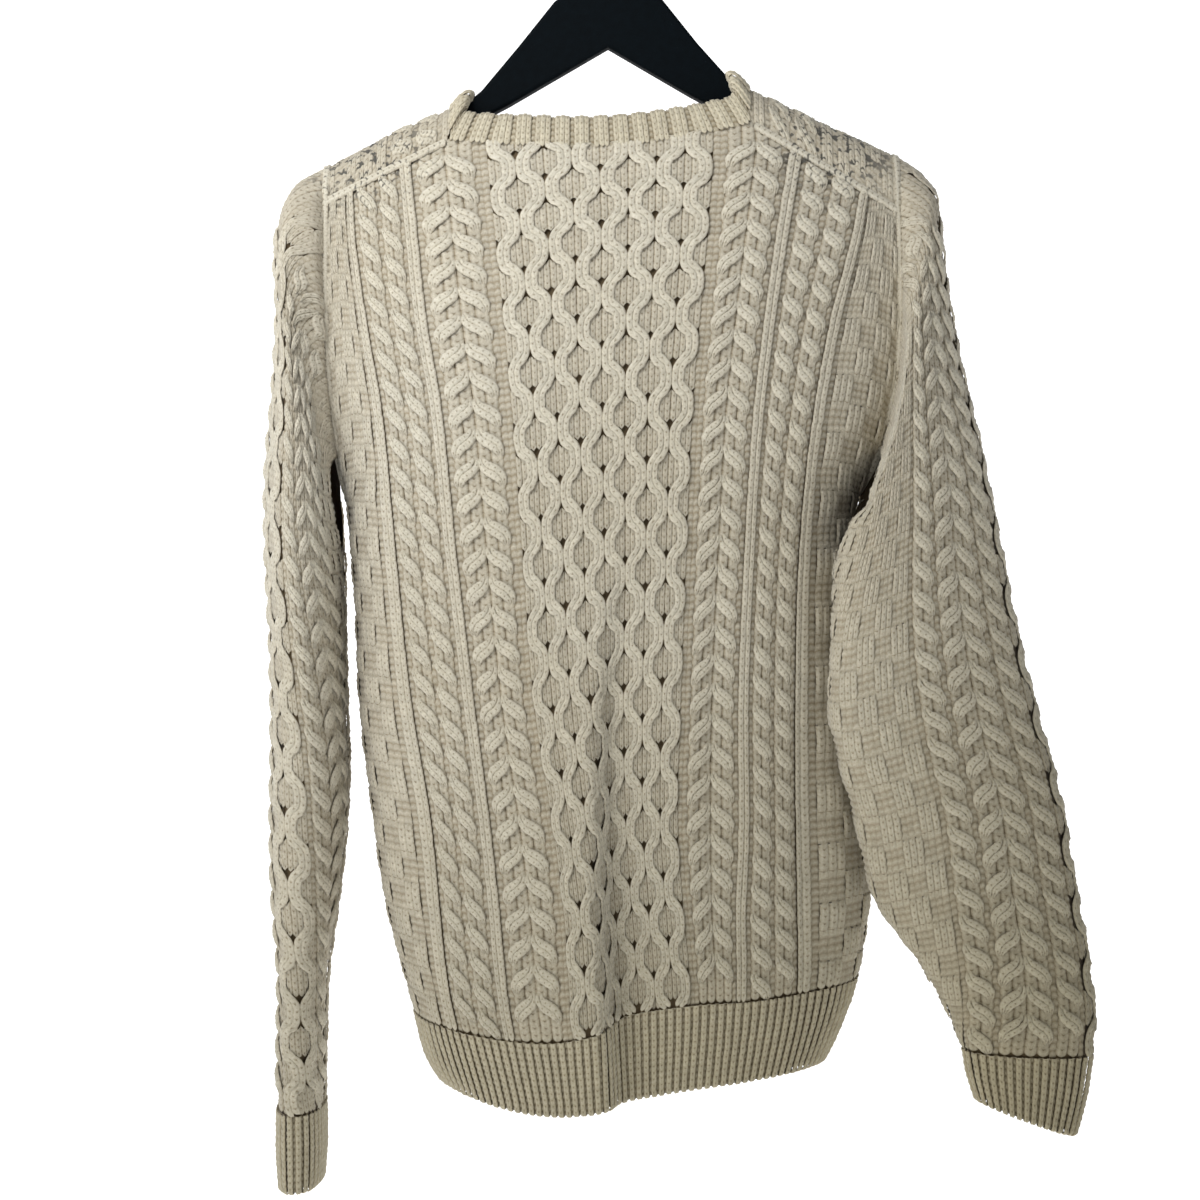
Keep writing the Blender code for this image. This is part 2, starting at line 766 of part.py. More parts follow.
def make_back(material):
    columns = back_columns()
    stitch = np.array([entry[0] for entry in columns])
    shift = np.array([entry[1] for entry in columns])
    top = column_top_z(-1, stitch) - SEAM / 2
    foot = column_foot_z(-1, stitch, BACK_HEM, 1) + HEM_GAP / 2
    share = np.linspace(0.0, 1.0, BACK_ROWS)[:, None]
    z = foot + (top - foot) * share + shift * shift_fade(share, BACK_ROWS)
    base = body_point(-1, stitch[None, :] + 0 * z, z)
    normal = body_normal(-1, stitch[None, :] + 0 * z, z)
    base[..., 1] -= SEAM / 2
    rise = grid_rise(columns, BACK_ROWS)
    half = BACK_ROWS
    rows = close_rows(base, 3, 9)
    cols = back_inner_columns(columns)
    return cloth_wall("back_panel", base, rise, WALL, False, False, rows, cols, material, normal, half)


def make_back_hem(material):
    columns = back_columns()
    stitch = np.array([entry[0] for entry in columns])
    top = column_foot_z(-1, stitch, BACK_HEM, 1) - HEM_GAP / 2
    foot = column_foot_z(-1, stitch, BACK_HEM, 2)
    share = np.linspace(0.0, 1.0, 3)[:, None]
    z = foot + (top - foot) * share
    base = body_point(-1, stitch[None, :] + 0 * z, z)
    normal = body_normal(-1, stitch[None, :] + 0 * z, z)
    base[..., 1] -= SEAM / 2
    rise = np.zeros(base.shape[:2])
    cols = back_inner_columns(columns)
    return cloth_wall("back_hem_rib", base, rise, WALL, False, False, 2, cols, material, normal, 3)


FRONT_ROWS = 28
NECK_ROWS = 8
WRAP_ROWS = 6


def neck_curve(left, share):
    """Front neckline from the front band up to the wrap over the shoulder: x and z."""
    sign = -1.0 if left else 1.0
    x_low = float(front_middle(FRONT_NECK_Z)) + sign * BAND_HALF
    x_high = NECK_LEFT_X if left else NECK_RIGHT_X
    z_high = float(shoulder_seam(x_high))
    x = x_low + (x_high - x_low) * np.sin(share * math.pi / 2)
    z = FRONT_NECK_Z + (z_high - FRONT_NECK_Z) * (1.0 - np.cos(share * math.pi / 2))
    return x, z


def wrap_point(x, turn):
    """Cloth over the shoulder at x: turn is 0 on the front side and pi at the back seam."""
    z_low = shoulder_seam(x)
    drop = crest(x) - z_low
    front = body_y(1, x, z_low)
    back = body_y(-1, x, z_low)
    middle = 0.5 * (front + back)
    half = 0.5 * (front - back)
    return np.stack([x + 0 * turn, middle + half * np.cos(turn), z_low + drop * np.sin(turn)], axis=-1)


def make_front(name, left, material):
    """One front: its grid runs up the chest, narrows at the neck and wraps the shoulder."""
    columns = front_columns()
    stitch = np.array([entry[0] for entry in columns])
    shift = np.array([entry[1] for entry in columns])
    sign = -1.0 if left else 1.0
    z_foot = column_foot_z(1, sign * stitch, FRONT_HEM, 1) + SEAM / 2
    share = np.linspace(0.0, 1.0, FRONT_ROWS)[:, None]
    z = z_foot + (FRONT_NECK_Z - z_foot) * share + shift * shift_fade(share, FRONT_ROWS)
    chest = body_point(1, sign * stitch[None, :] + 0 * z, z)
    chest_normal = body_normal(1, sign * stitch[None, :] + 0 * z, z)
    x = chest[..., 0]
    edge_z = float(shoulder_seam(ARMHOLE_TOP_LEFT if left else ARMHOLE_TOP_RIGHT))
    x_side = x[-1, 0]
    fraction = (x[-1] - x_side) / (x[-1, -1] - x_side)
    neck = []
    for step in range(1, NECK_ROWS + 1):
        rise_share = step / NECK_ROWS
        neck_x, neck_z = neck_curve(left, rise_share)
        side_z = FRONT_NECK_Z + (edge_z - FRONT_NECK_Z) * rise_share
        side_x = float(edge_x(side_z, not left))
        row_x = side_x + (neck_x - side_x) * fraction
        row_z = side_z + (neck_z - side_z) * fraction
        neck.append(np.stack([row_x, body_y(1, row_x, row_z), row_z], axis=-1))
    top_x = neck[-1][:, 0]
    wraps = []
    last_turn = math.pi - SEAM / 2 / 25.0
    for step in range(1, WRAP_ROWS + 1):
        turn = last_turn * step / WRAP_ROWS
        wraps.append(wrap_point(top_x, turn))
    base = np.concatenate([chest, np.array(neck), np.array(wraps)], axis=0)
    base[:FRONT_ROWS + NECK_ROWS, :, 1] += SEAM / 2
    rise = grid_rise(columns, base.shape[0])
    rise[FRONT_ROWS:] *= np.linspace(0.8, 0.0, base.shape[0] - FRONT_ROWS)[:, None]
    normal = grid_normals(base, False, left)
    normal[:FRONT_ROWS] = chest_normal
    wrap = normal[FRONT_ROWS + NECK_ROWS:, -1]
    wrap[:, 0] = 0.0
    wrap /= np.linalg.norm(wrap, axis=1, keepdims=True)
    rows = close_rows(base, 2, 8, WRAP_ROWS + NECK_ROWS + 1)
    return cloth_wall(name, base, rise, WALL, False, left, rows, 2, material, normal, FRONT_ROWS)


def make_front_hem(name, left, material):
    sign = -1.0 if left else 1.0
    stitch = np.array([entry[0] for entry in front_columns()])
    top = column_foot_z(1, sign * stitch, FRONT_HEM, 1) - SEAM / 2
    foot = column_foot_z(1, sign * stitch, FRONT_HEM, 2)
    share = np.linspace(0.0, 1.0, 4)[:, None]
    z = foot + (top - foot) * share
    signed = sign * stitch[None, :] + 0 * z
    base = body_point(1, signed, z)
    normal = body_normal(1, signed, z)
    base[..., 1] += SEAM / 2
    rise = np.zeros(base.shape[:2])
    return cloth_wall(name, base, rise, WALL, False, left, 3, 2, material, normal, 4)


# Front bands: the lower one carries the buttons, the upper one lies on it
BAND_ROWS = 19
LOWER_BAND_STITCHES = 3.45
UPPER_BAND_STITCHES = 3.3


def band_strip(lift, half_stitches):
    """Strip down the centre front, its normals, and its lift off the lower band's face."""
    z_top = FRONT_NECK_Z - 1.0
    z_foot = float(smooth_table(FRONT_HEM, 6.0, 2))
    z = np.linspace(z_foot, z_top, BAND_ROWS)[:, None]
    stitch = np.linspace(-half_stitches, half_stitches, 5)[None, :]
    stitch, z = np.broadcast_arrays(stitch, z)
    base = body_point(1, stitch, z)
    normal = body_normal(1, stitch, z)
    base[..., 1] += SEAM / 2
    return base + normal * lift, normal


def make_band(name, lift, half_stitches, material):
    base, normal = band_strip(lift, half_stitches)
    rise = np.zeros(base.shape[:2])
    return cloth_wall(name, base, rise, BAND_WALL, False, True, 1, 2, material, normal)


def make_buttons(material):
    lift = BAND_WALL + SEAM
    face, normal = band_strip(lift, BAND_STITCH)
    rows = np.linspace(1.2, BAND_ROWS - 2.0, BUTTON_COUNT)
    profile = (
        (0.0, BUTTON_THICK - BUTTON_DISH),
        (BUTTON_RADIUS * 0.64, BUTTON_THICK - BUTTON_DISH),
        (BUTTON_RADIUS * 0.80, BUTTON_THICK),
        (BUTTON_RADIUS, BUTTON_THICK * 0.5),
        (BUTTON_RADIUS * 0.7, 0.0),
        (0.0, 0.0),
    )
    for number, row in enumerate(rows):
        low = int(row)
        part = row - low
        centre = face[low, 2] * (1 - part) + face[low + 1, 2] * part
        axis = normal[low, 2] * (1 - part) + normal[low + 1, 2] * part
        axis = axis / np.linalg.norm(axis)
        add_button(f"button_{number + 1}", centre + axis * (SEAM + 0.6), axis, profile, material)


def add_button(name, centre, axis, profile, material):
    """Turned button: its profile swept round the axis that points away from the cloth."""
    sides = 10
    first = np.cross(axis, (1.0, 0.0, 0.0))
    first = first / np.linalg.norm(first)
    second = np.cross(axis, first)
    points = [tuple(centre + axis * profile[0][1])]
    rings = profile[1:-1]
    for radius, height in rings:
        for side in range(sides):
            turn = 2 * math.pi * side / sides
            spoke = first * math.cos(turn) + second * math.sin(turn)
            points.append(tuple(centre + spoke * radius + axis * height))
    points.append(tuple(centre + axis * profile[-1][1]))
    last = len(points) - 1
    faces = []
    for side in range(sides):
        ahead = (side + 1) % sides
        faces.append((0, 1 + side, 1 + ahead))
        for ring in range(len(rings) - 1):
            low = 1 + ring * sides
            high = low + sides
            faces.append((low + side, high + side, high + ahead, low + ahead))
        base = 1 + (len(rings) - 1) * sides
        faces.append((base + side, last, base + ahead))
    return add_mesh(name, points, faces, material)


def neck_path():
    """Base line of the neckband from the right front over the back to the left front, with
    the cloth's outward direction and how far each point is on top of a shoulder."""
    share = np.linspace(0.0, 1.0, 40)
    turns = np.linspace(0.0, math.pi, 24)[1:]
    wrap_out = np.stack([0 * turns, np.cos(turns), np.sin(turns)], axis=-1)
    front_out = np.tile((0.0, 1.0, 0.0), (len(share), 1))
    x, z = neck_curve(False, share)
    right = np.stack([x, body_y(1, x, z) + SEAM / 2, z], axis=-1)
    back_x = np.linspace(NECK_RIGHT_X, NECK_LEFT_X, 60)[1:-1]
    back_z = back_top(back_x)
    back = np.stack([back_x, body_y(-1, back_x, back_z) - SEAM / 2, back_z], axis=-1)
    back_out = np.tile((0.0, -1.0, 0.0), (len(back), 1))
    x, z = neck_curve(True, share[::-1])
    left = np.stack([x, body_y(1, x, z) + SEAM / 2, z], axis=-1)
    right_wrap = wrap_point(NECK_RIGHT_X, turns)
    left_wrap = wrap_point(NECK_LEFT_X, turns[::-1])
    path = np.concatenate([right, right_wrap, back, left_wrap, left], axis=0)
    outward = np.concatenate([front_out, wrap_out, back_out, wrap_out[::-1], front_out], axis=0)
    on_top = np.concatenate([0 * share, np.sin(turns), 0 * back_x, np.sin(turns[::-1]), 0 * share])
    return path, outward, on_top


def smooth_along(values, reach):
    """Running mean along a path, with its ends held."""
    kernel = np.ones(2 * reach + 1) / (2 * reach + 1)
    padded = np.pad(values, ((reach, reach), (0, 0)), mode="edge")
    return np.stack([np.convolve(padded[:, axis], kernel, "valid") for axis in range(3)], axis=-1)


def make_neckband(material):
    path, outward, on_top = neck_path()
    length = np.concatenate(([0.0], np.cumsum(np.linalg.norm(np.diff(path, axis=0), axis=1))))
    count = 2 * int(length[-1] / NECKBAND_RIB_PITCH) + 1
    along = np.linspace(0.0, length[-1], count)

    def spread(values):
        return np.stack([np.interp(along, length, values[:, axis]) for axis in range(3)], axis=-1)

    low = spread(path)
    outward = spread(outward)
    top = np.interp(along, length, on_top)[:, None]
    tangent = np.gradient(low, axis=0)
    tangent = tangent / np.linalg.norm(tangent, axis=1, keepdims=True)
    rising = np.cross(tangent, outward)
    rising = rising / np.linalg.norm(rising, axis=1, keepdims=True)
    rising = rising + top * np.array((0.0, 0.0, NECKBAND_SIDE_LIFT))
    rising = rising - 0.25 * outward * (1.0 - top)
    rising = smooth_along(rising / np.linalg.norm(rising, axis=1, keepdims=True), 3)
    rising = rising / np.linalg.norm(rising, axis=1, keepdims=True)
    width = NECKBAND_WIDTH - (NECKBAND_WIDTH - NECKBAND_SIDE_WIDTH) * top
    share = np.linspace(0.0, 1.0, 3)[:, None, None]
    start = NECKBAND_START
    base = low[None] + rising[None] * (start + (width[None] - start) * share)
    normal = grid_normals(base, False, True)
    base = base + normal * np.sin(math.pi * share)
    level = smooth_along(outward, 2)
    normal[0] = level / np.linalg.norm(level, axis=1, keepdims=True)
    rise = np.zeros(base.shape[:2])
    rise[1, 1:-1:2] = NECK_RIB_RISE
    rise[2, 1:-1:2] = NECK_RIB_RISE * 0.6
    return cloth_wall("neckband", base, rise, RIB_WALL, False, True, 2, 4, material, normal)


# Sleeves
RING_POINTS = 20
RING_SQUARE = 2.2
SLEEVE_ROWS = 35
ARMHOLE_ROWS = 6
ARMHOLE_ROW_STEP = 8.0
ARMHOLE_GAP = 1.2
ARMHOLE_SPREAD = 0.5


def armhole_ring(left):
    """Armhole seam as a ring: crest first, then down behind, the underarm, and up in front."""
    right = not left
    x_top = float(edge_x(-186.0, right))
    seam_turns = np.linspace(math.pi / 2, math.pi, 12)
    behind = wrap_point(x_top, seam_turns)
    z = np.linspace(behind[-1, 2] - 2.0, UNDERARM_Z, 60)
    x = edge_x(z, right)
    back = np.stack([x, body_y(-1, x, z), z], axis=-1)
    ahead = wrap_point(x_top, np.linspace(0.0, math.pi / 2, 12))
    front = np.stack([x, body_y(1, x, z), z], axis=-1)[::-1]
    ring = np.concatenate([behind, back, front[1:], ahead], axis=0)
    steps = np.linalg.norm(np.diff(ring, axis=0), axis=1)
    length = np.concatenate(([0.0], np.cumsum(steps)))
    foot = len(behind) + len(back) - 1
    half = RING_POINTS // 2
    spread = 0.5 - 0.5 * np.cos(np.arange(half) * math.pi / half)
    targets = np.concatenate([
        length[foot] * spread,
        length[foot] + (length[-1] - length[foot]) * spread,
    ])
    points = np.stack([np.interp(targets, length, ring[:, axis]) for axis in range(3)], axis=-1)
    points[:, 0] += -ARMHOLE_GAP if left else ARMHOLE_GAP
    return points


def sleeve_ring(row):
    """One ring of a sleeve from its table row; the first point is the outer one."""
    outer = np.array(row[0:3])
    inner = np.array(row[3:6])
    middle = 0.5 * (outer + inner)
    reach = 0.5 * (outer - inner)
    angle = 2 * math.pi * np.arange(RING_POINTS) / RING_POINTS
    power = 2.0 / RING_SQUARE
    cosine = np.sign(np.cos(angle)) * np.abs(np.cos(angle)) ** power
    sine = np.sign(np.sin(angle)) * np.abs(np.sin(angle)) ** power
    deep = np.array((0.0, -row[6], 0.0))
    return middle + cosine[:, None] * reach + sine[:, None] * deep


def resample_rings(rings, rows, close=0):
    """Rings spread evenly along a tube's outer line, with the first ones close together."""
    rings = np.array(rings)
    centre = rings.mean(axis=1)
    outer_steps = np.linalg.norm(np.diff(rings[:, 0], axis=0), axis=1)
    centre_steps = np.linalg.norm(np.diff(centre, axis=0), axis=1)
    steps = 0.6 * outer_steps + 0.4 * centre_steps
    length = np.concatenate(([0.0], np.cumsum(steps)))
    near = np.arange(close) * ARMHOLE_ROW_STEP
    start = close * ARMHOLE_ROW_STEP
    targets = np.concatenate([near, np.linspace(start, length[-1], rows - close)])
    slopes = np.gradient(rings, length, axis=0)
    low = np.clip(np.searchsorted(length, targets) - 1, 0, len(length) - 2)
    span = (length[low + 1] - length[low])[:, None, None]
    part = (targets - length[low])[:, None, None] / span
    first = (1 + 2 * part) * (1 - part) ** 2 * rings[low]
    second = part * (1 - part) ** 2 * span * slopes[low]
    third = part ** 2 * (3 - 2 * part) * rings[low + 1]
    fourth = part ** 2 * (part - 1) * span * slopes[low + 1]
    return first + second + third + fourth


def keep_outside(rings, left):
    """Rings, armhole last, moved where needed to stay outside the body's own edge."""
    sign = -1.0 if left else 1.0
    count = rings.shape[0]
    away = (count - 1 - np.arange(count))[:, None]
    z = rings[..., 2]
    edge = sign * edge_x(np.maximum(z, UNDERARM_Z), not left)
    limit = edge + ARMHOLE_GAP + ARMHOLE_SPREAD * away
    near = z > UNDERARM_Z - 6.0
    outside = np.maximum(sign * rings[..., 0], limit)
    rings[..., 0] = np.where(near, sign * outside, rings[..., 0])
    return rings


def sleeve_rise(rows):
    """Cables round a sleeve: an open-and-shut column outside, ropes beside it, then baskets."""
    rise = np.zeros((rows, RING_POINTS))
    for col in range(RING_POINTS):
        away = min(col, RING_POINTS - col)
        for row in range(ARMHOLE_ROWS, rows - 1):
            even = row % 2 == 0
            if away == 0:
                rise[row, col] = CABLE_RISE * (0.9 if even else 0.15)
            elif away == 1:
                rise[row, col] = CABLE_RISE * (0.2 if even else 0.9)
            elif away in (3, 5):
                rise[row, col] = CABLE_RISE * (0.85 if even else 0.25)
            elif away in (4, 6):
                rise[row, col] = CABLE_RISE * (0.3 if even else 0.7)
            elif away >= 8:
                rise[row, col] = BASKET_RISE * ((row // 2 + col) % 2)
    return rise


def make_sleeve(name, cuff_name, left, table, cuff_table, cloth, ribbed):
    rings = [armhole_ring(left)] + [sleeve_ring(row) for row in table]
    base = resample_rings(rings, SLEEVE_ROWS, ARMHOLE_ROWS)
    rise = sleeve_rise(SLEEVE_ROWS)
    if left:
        base = base[:, (-np.arange(RING_POINTS)) % RING_POINTS]
    base = keep_outside(base[::-1].copy(), left)
    normal = grid_normals(base, True, True)
    normal[-1, :, 0] = 0.0
    normal[-1] /= np.linalg.norm(normal[-1], axis=1, keepdims=True)
    rows = list(range(0, SLEEVE_ROWS - ARMHOLE_ROWS - 1, 5))
    rows += list(range(SLEEVE_ROWS - ARMHOLE_ROWS, SLEEVE_ROWS))
    cloth_wall(name, base, rise[::-1], WALL, True, True, rows, 1, cloth, normal, 0,
               lambda inside: keep_outside(inside, left))
    cuff = resample_rings([sleeve_ring(row) for row in cuff_table], 4)
    if left:
        cuff = cuff[:, (-np.arange(RING_POINTS)) % RING_POINTS]
    cuff = cuff[::-1]
    cloth_wall(cuff_name, cuff, np.zeros(cuff.shape[:2]), RIB_WALL, True, True, 2, 1, ribbed)


def make_label(material):
    left, right, foot, top = LABEL_BOX
    x = np.linspace(left, right, 5)[None, :]
    z = np.linspace(foot, top, 3)[:, None]
    x, z = np.broadcast_arrays(x, z)
    base = np.stack([x, body_y(-1, x, z), z], axis=-1)
    normal = grid_normals(base, False, False)
    base = base - normal * (WALL + SEAM + 0.5)
    return cloth_wall("neck_label", base, np.zeros(x.shape), LABEL_WALL, False, False, 1, 1, material)


# Hanger
def inset(outline, distance):
    """Outline moved inward by a distance, corner by corner."""
    moved = []
    count = len(outline)
    for index, (x, z) in enumerate(outline):
        x_back, z_back = outline[index - 1]
        x_next, z_next = outline[(index + 1) % count]
        back = np.array((x - x_back, z - z_back))
        ahead = np.array((x_next - x, z_next - z))
        back = back / np.linalg.norm(back)
        ahead = ahead / np.linalg.norm(ahead)
        normal = np.array((back[1] + ahead[1], -back[0] - ahead[0]))
        normal = normal / max(np.dot(normal, normal), 1.2)
        moved.append((x + 2 * distance * normal[0], z + 2 * distance * normal[1]))
    return moved


def hanger_outline():
    """Front outline of the hanger: upper edge left to right, then its underside back."""
    under_left = [(x, float(crest(x)) - tuck) for x, tuck in HANGER_TUCK if x < 0]
    under_right = [(x, float(crest(x)) - tuck) for x, tuck in HANGER_TUCK if x > 0]
    return under_left + list(ARM_UPPER) + under_right + list(reversed(ARM_UNDER))


def make_hanger(material):
    """Flat outline given its thickness as a filled curve with a soft edge."""
    outline = inset(hanger_outline(), HANGER_BEVEL)
    curve = bpy.data.curves.new("hanger_outline", "CURVE")
    curve.dimensions = "2D"
    curve.fill_mode = "BOTH"
    curve.extrude = (HANGER_HALF_THICK - HANGER_BEVEL) * MM
    curve.bevel_depth = HANGER_BEVEL * MM
    curve.bevel_resolution = 1
    spline = curve.splines.new("POLY")
    spline.points.add(len(outline) - 1)
    for point, (x, z) in zip(spline.points, outline):
        point.co = (x * MM, z * MM, 0.0, 1.0)
    spline.use_cyclic_u = True
    obj = bpy.data.objects.new("hanger_arms", curve)
    obj.rotation_euler = (math.pi / 2, 0.0, 0.0)
    part_collection.objects.link(obj)
    curve.materials.append(material)
    return obj


def make_hook(material):
    """Round wire: a stem from the hub, then the open hook over the rail."""
    curve = bpy.data.curves.new("hook_wire", "CURVE")
    curve.dimensions = "3D"
    curve.bevel_depth = HOOK_WIRE * MM
    curve.bevel_resolution = 1
    curve.use_fill_caps = True
    centre_z = -HOOK_RADIUS
    reach = HOOK_RADIUS + HOOK_WIRE
    points = []
    for step in range(HOOK_STEPS + 1):
        turn = math.pi - HOOK_TURN + HOOK_TURN * step / HOOK_STEPS
        points.append((-reach * math.cos(turn), 0.0, centre_z + reach * math.sin(turn)))
    points = points[::-1]
    bend_x, _, bend_z = points[-1]
    for step in range(1, STEM_STEPS + 1):
        part = step / STEM_STEPS
        ease = part * part * (3 - 2 * part)
        points.append((bend_x * (1 - ease), 0.0, bend_z + (STEM_TOP_Z - bend_z) * part))
    points.append((0.0, 0.0, HUB_TOP_Z + SEAM))
    spline = curve.splines.new("POLY")
    spline.points.add(len(points) - 1)
    for point, place in zip(spline.points, points):
        point.co = (*(MM * value for value in place), 1.0)
    obj = bpy.data.objects.new("hanger_hook", curve)
    part_collection.objects.link(obj)
    curve.materials.append(material)
    return obj


def main():
    clear_scene()
    cream = plain_material("cream_wool", (0.66, 0.60, 0.48), 0.92)
    rib = plain_material("cream_rib", (0.62, 0.55, 0.42), 0.92)
    horn = plain_material("button_horn", (0.42, 0.33, 0.22), 0.35)
    label = plain_material("label_cloth", (0.02, 0.02, 0.03), 0.8)
    black = plain_material("hanger_black", (0.012, 0.014, 0.017), 0.45)
    chrome = plain_material("hook_chrome", (0.75, 0.75, 0.76), 0.2, 1.0)
    make_back(cream)
    make_front("left_front", True, cream)
    make_front("right_front", False, cream)
    make_back_hem(rib)
    make_front_hem("left_front_hem_rib", True, rib)
    make_front_hem("right_front_hem_rib", False, rib)
    make_band("button_band", 0.0, LOWER_BAND_STITCHES, rib)
    make_band("buttonhole_band", BAND_WALL + SEAM, UPPER_BAND_STITCHES, rib)
    make_buttons(horn)
    make_neckband(rib)
    make_sleeve("left_sleeve", "left_cuff", True, LEFT_SLEEVE, LEFT_CUFF, cream, rib)
    make_sleeve("right_sleeve", "right_cuff", False, RIGHT_SLEEVE, RIGHT_CUFF, cream, rib)
    make_label(label)
    make_hanger(black)
    make_hook(chrome)


main()
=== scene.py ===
"""Looks of the Aran cardigan on its black hanger: every stitch of the cables, ribs and baskets
is a bent strip of cloth on the same faces as the solids.

Sizes are written in millimetres. The back faces -Y; rows are counted up from each seam and
stitches across, to the right as seen from outside.
"""

import math

import bpy
import numpy as np
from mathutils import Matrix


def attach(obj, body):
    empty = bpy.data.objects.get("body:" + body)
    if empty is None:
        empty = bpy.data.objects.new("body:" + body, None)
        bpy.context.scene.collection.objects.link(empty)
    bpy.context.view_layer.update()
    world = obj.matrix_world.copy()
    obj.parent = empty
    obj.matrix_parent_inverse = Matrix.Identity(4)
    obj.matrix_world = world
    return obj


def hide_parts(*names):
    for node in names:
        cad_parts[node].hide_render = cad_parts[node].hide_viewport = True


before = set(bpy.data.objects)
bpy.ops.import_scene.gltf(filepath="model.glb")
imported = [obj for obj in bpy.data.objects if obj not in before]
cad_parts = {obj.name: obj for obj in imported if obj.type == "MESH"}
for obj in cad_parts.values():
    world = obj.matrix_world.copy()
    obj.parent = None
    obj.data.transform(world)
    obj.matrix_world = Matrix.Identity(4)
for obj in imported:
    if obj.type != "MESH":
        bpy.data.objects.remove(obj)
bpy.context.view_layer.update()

MM = 0.001

# Cloth thickness and the gap left at each seam
WALL = 3.0
SEAM = 0.3
# Heights of the main lines
UNDERARM_Z = -408.0
FRONT_NECK_Z = -235.0
LOWEST_Z = -830.0
# How square the body's cross-section is: 2 would be an ellipse
SQUARENESS = 2.5
# Shoulder line: x, height of its crest
SHOULDER = (
    (-215.0, -203.0),
    (-206.0, -197.0),
    (-186.0, -186.0),
    (-172.0, -178.5),
    (-146.0, -165.0),
    (-113.0, -151.0),
    (-104.0, -147.0),
    (-5.0, -141.0),
    (93.0, -134.0),
    (113.0, -143.5),
    (147.0, -159.0),
    (164.0, -166.0),
    (190.0, -178.5),
    (219.0, -198.0),
)
# The straight shoulder seams, which lie behind the crest: x, height
SHOULDER_SEAMS = (
    (-240.0, -238.0),
    (-104.0, -172.0),
    (93.0, -161.0),
    (240.0, -247.0),
)
NECK_LEFT_X = -104.0
NECK_RIGHT_X = 93.0
# Back neckline between the two neck points: x, height
BACK_NECK = (
    (-104.0, -172.0),
    (-60.0, -175.5),
    (-5.0, -177.0),
    (45.0, -171.5),
    (93.0, -161.0),
)
# Side outline: height, left x, right x; above the underarm it runs on inside the sleeves
SIDES = (
    (-830.0, -96.0, 122.0),
    (-806.0, -103.0, 128.0),
    (-780.0, -119.0, 143.0),
    (-744.0, -129.0, 159.0),
    (-677.0, -147.0, 173.0),
    (-610.0, -157.0, 173.0),
    (-543.0, -165.0, 169.0),
    (-476.0, -168.0, 164.0),
    (-440.0, -171.0, 164.0),
    (-408.0, -174.0, 166.0),
    (-385.0, -180.0, 180.0),
    (-345.0, -193.0, 200.0),
    (-275.0, -214.0, 222.0),
    (-200.0, -238.0, 243.0),
    (-120.0, -240.0, 245.0),
)
# Armhole seams: height, left x, right x
ARMHOLES = (
    (-408.0, -174.0, 166.0),
    (-370.0, -179.5, 180.0),
    (-328.0, -184.0, 189.0),
    (-280.0, -186.0, 192.0),
    (-235.0, -187.0, 192.0),
    (-170.0, -187.0, 191.0),
)
# Depth of the garment below its shoulder line: drop from the crest, back, front
DEPTHS = (
    (0.0, 15.0, 15.0),
    (22.0, 20.5, 20.5),
    (60.0, 33.0, 31.0),
    (110.0, 47.0, 41.0),
    (170.0, 60.0, 51.0),
    (230.0, 68.0, 57.0),
    (330.0, 73.0, 61.0),
    (430.0, 76.0, 63.0),
    (530.0, 78.0, 64.0),
    (600.0, 74.0, 62.0),
    (660.0, 62.0, 56.0),
    (700.0, 56.0, 52.0),
)
# Where the knitted columns stand on the back: height, then the x of the outer rib, the
# inner rib and the honeycomb's edge on the left, and the same three on the right
WALES = (
    (-800.0, -86.0, -54.0, -21.0, 52.0, 78.0, 110.0),
    (-730.0, -104.0, -67.0, -27.0, 55.0, 84.0, 123.0),
    (-670.0, -111.0, -73.0, -31.0, 50.0, 84.0, 123.0),
    (-628.0, -115.0, -77.5, -36.5, 47.0, 86.0, 122.0),
    (-539.0, -130.0, -89.0, -50.5, 49.0, 86.0, 122.0),
    (-444.0, -140.0, -101.0, -58.0, 53.0, 90.0, 125.0),
    (-347.0, -150.0, -112.0, -66.0, 58.0, 97.0, 136.0),
    (-294.0, -160.0, -122.0, -71.5, 63.0, 104.0, 147.0),
    (-238.0, -169.0, -129.0, -78.0, 69.0, 113.0, 163.0),
    (-180.0, -173.0, -136.0, -85.0, 74.0, 124.0, 175.0),
)
# The same columns as stitches counted from the centre of the back
WALE_STITCHES = (-54.0, -41.0, -28.0, -17.0, 17.0, 28.0, 41.0, 54.0)
EDGE_STITCH = 54.0
# The fronts' columns: stitch, share of the half width; the bands begin at BAND_STITCH
FRONT_STITCHES = (17.0, 28.0, 41.0)
FRONT_SHARES = (0.36, 0.56, 0.80)
BAND_STITCH = 3.6
FRONT_LINES = 102
# The deep fold down the middle of the back: height, x, how far it steps in
CENTRE_FOLD = (
    (-830.0, 4.0, 8.0),
    (-790.0, 3.0, 10.0),
    (-740.0, 0.0, 12.5),
    (-670.0, -5.0, 12.0),
    (-600.0, -5.0, 9.0),
    (-540.0, -4.0, 5.5),
    (-480.0, 2.0, 2.0),
    (-430.0, 6.0, 0.0),
    (-120.0, 6.0, 0.0),
)
FOLD_EDGE = 5.0
FOLD_REACH = 42.0
# Soft troughs: side (-1 back, 1 front), x at its top, x at its foot, top, foot, width, depth
TROUGHS = (
    (-1, -128.0, -112.0, -380.0, -760.0, 17.0, 4.0),
    (-1, 66.0, 70.0, -420.0, -760.0, 15.0, 3.0),
    (-1, 132.0, 128.0, -520.0, -790.0, 14.0, 3.0),
    (1, -96.0, -78.0, -300.0, -790.0, 20.0, 7.0),
    (1, -44.0, -36.0, -420.0, -800.0, 14.0, 4.0),
    (1, 62.0, 70.0, -380.0, -800.0, 17.0, 5.0),
    (1, 112.0, 110.0, -300.0, -760.0, 18.0, 7.0),
)
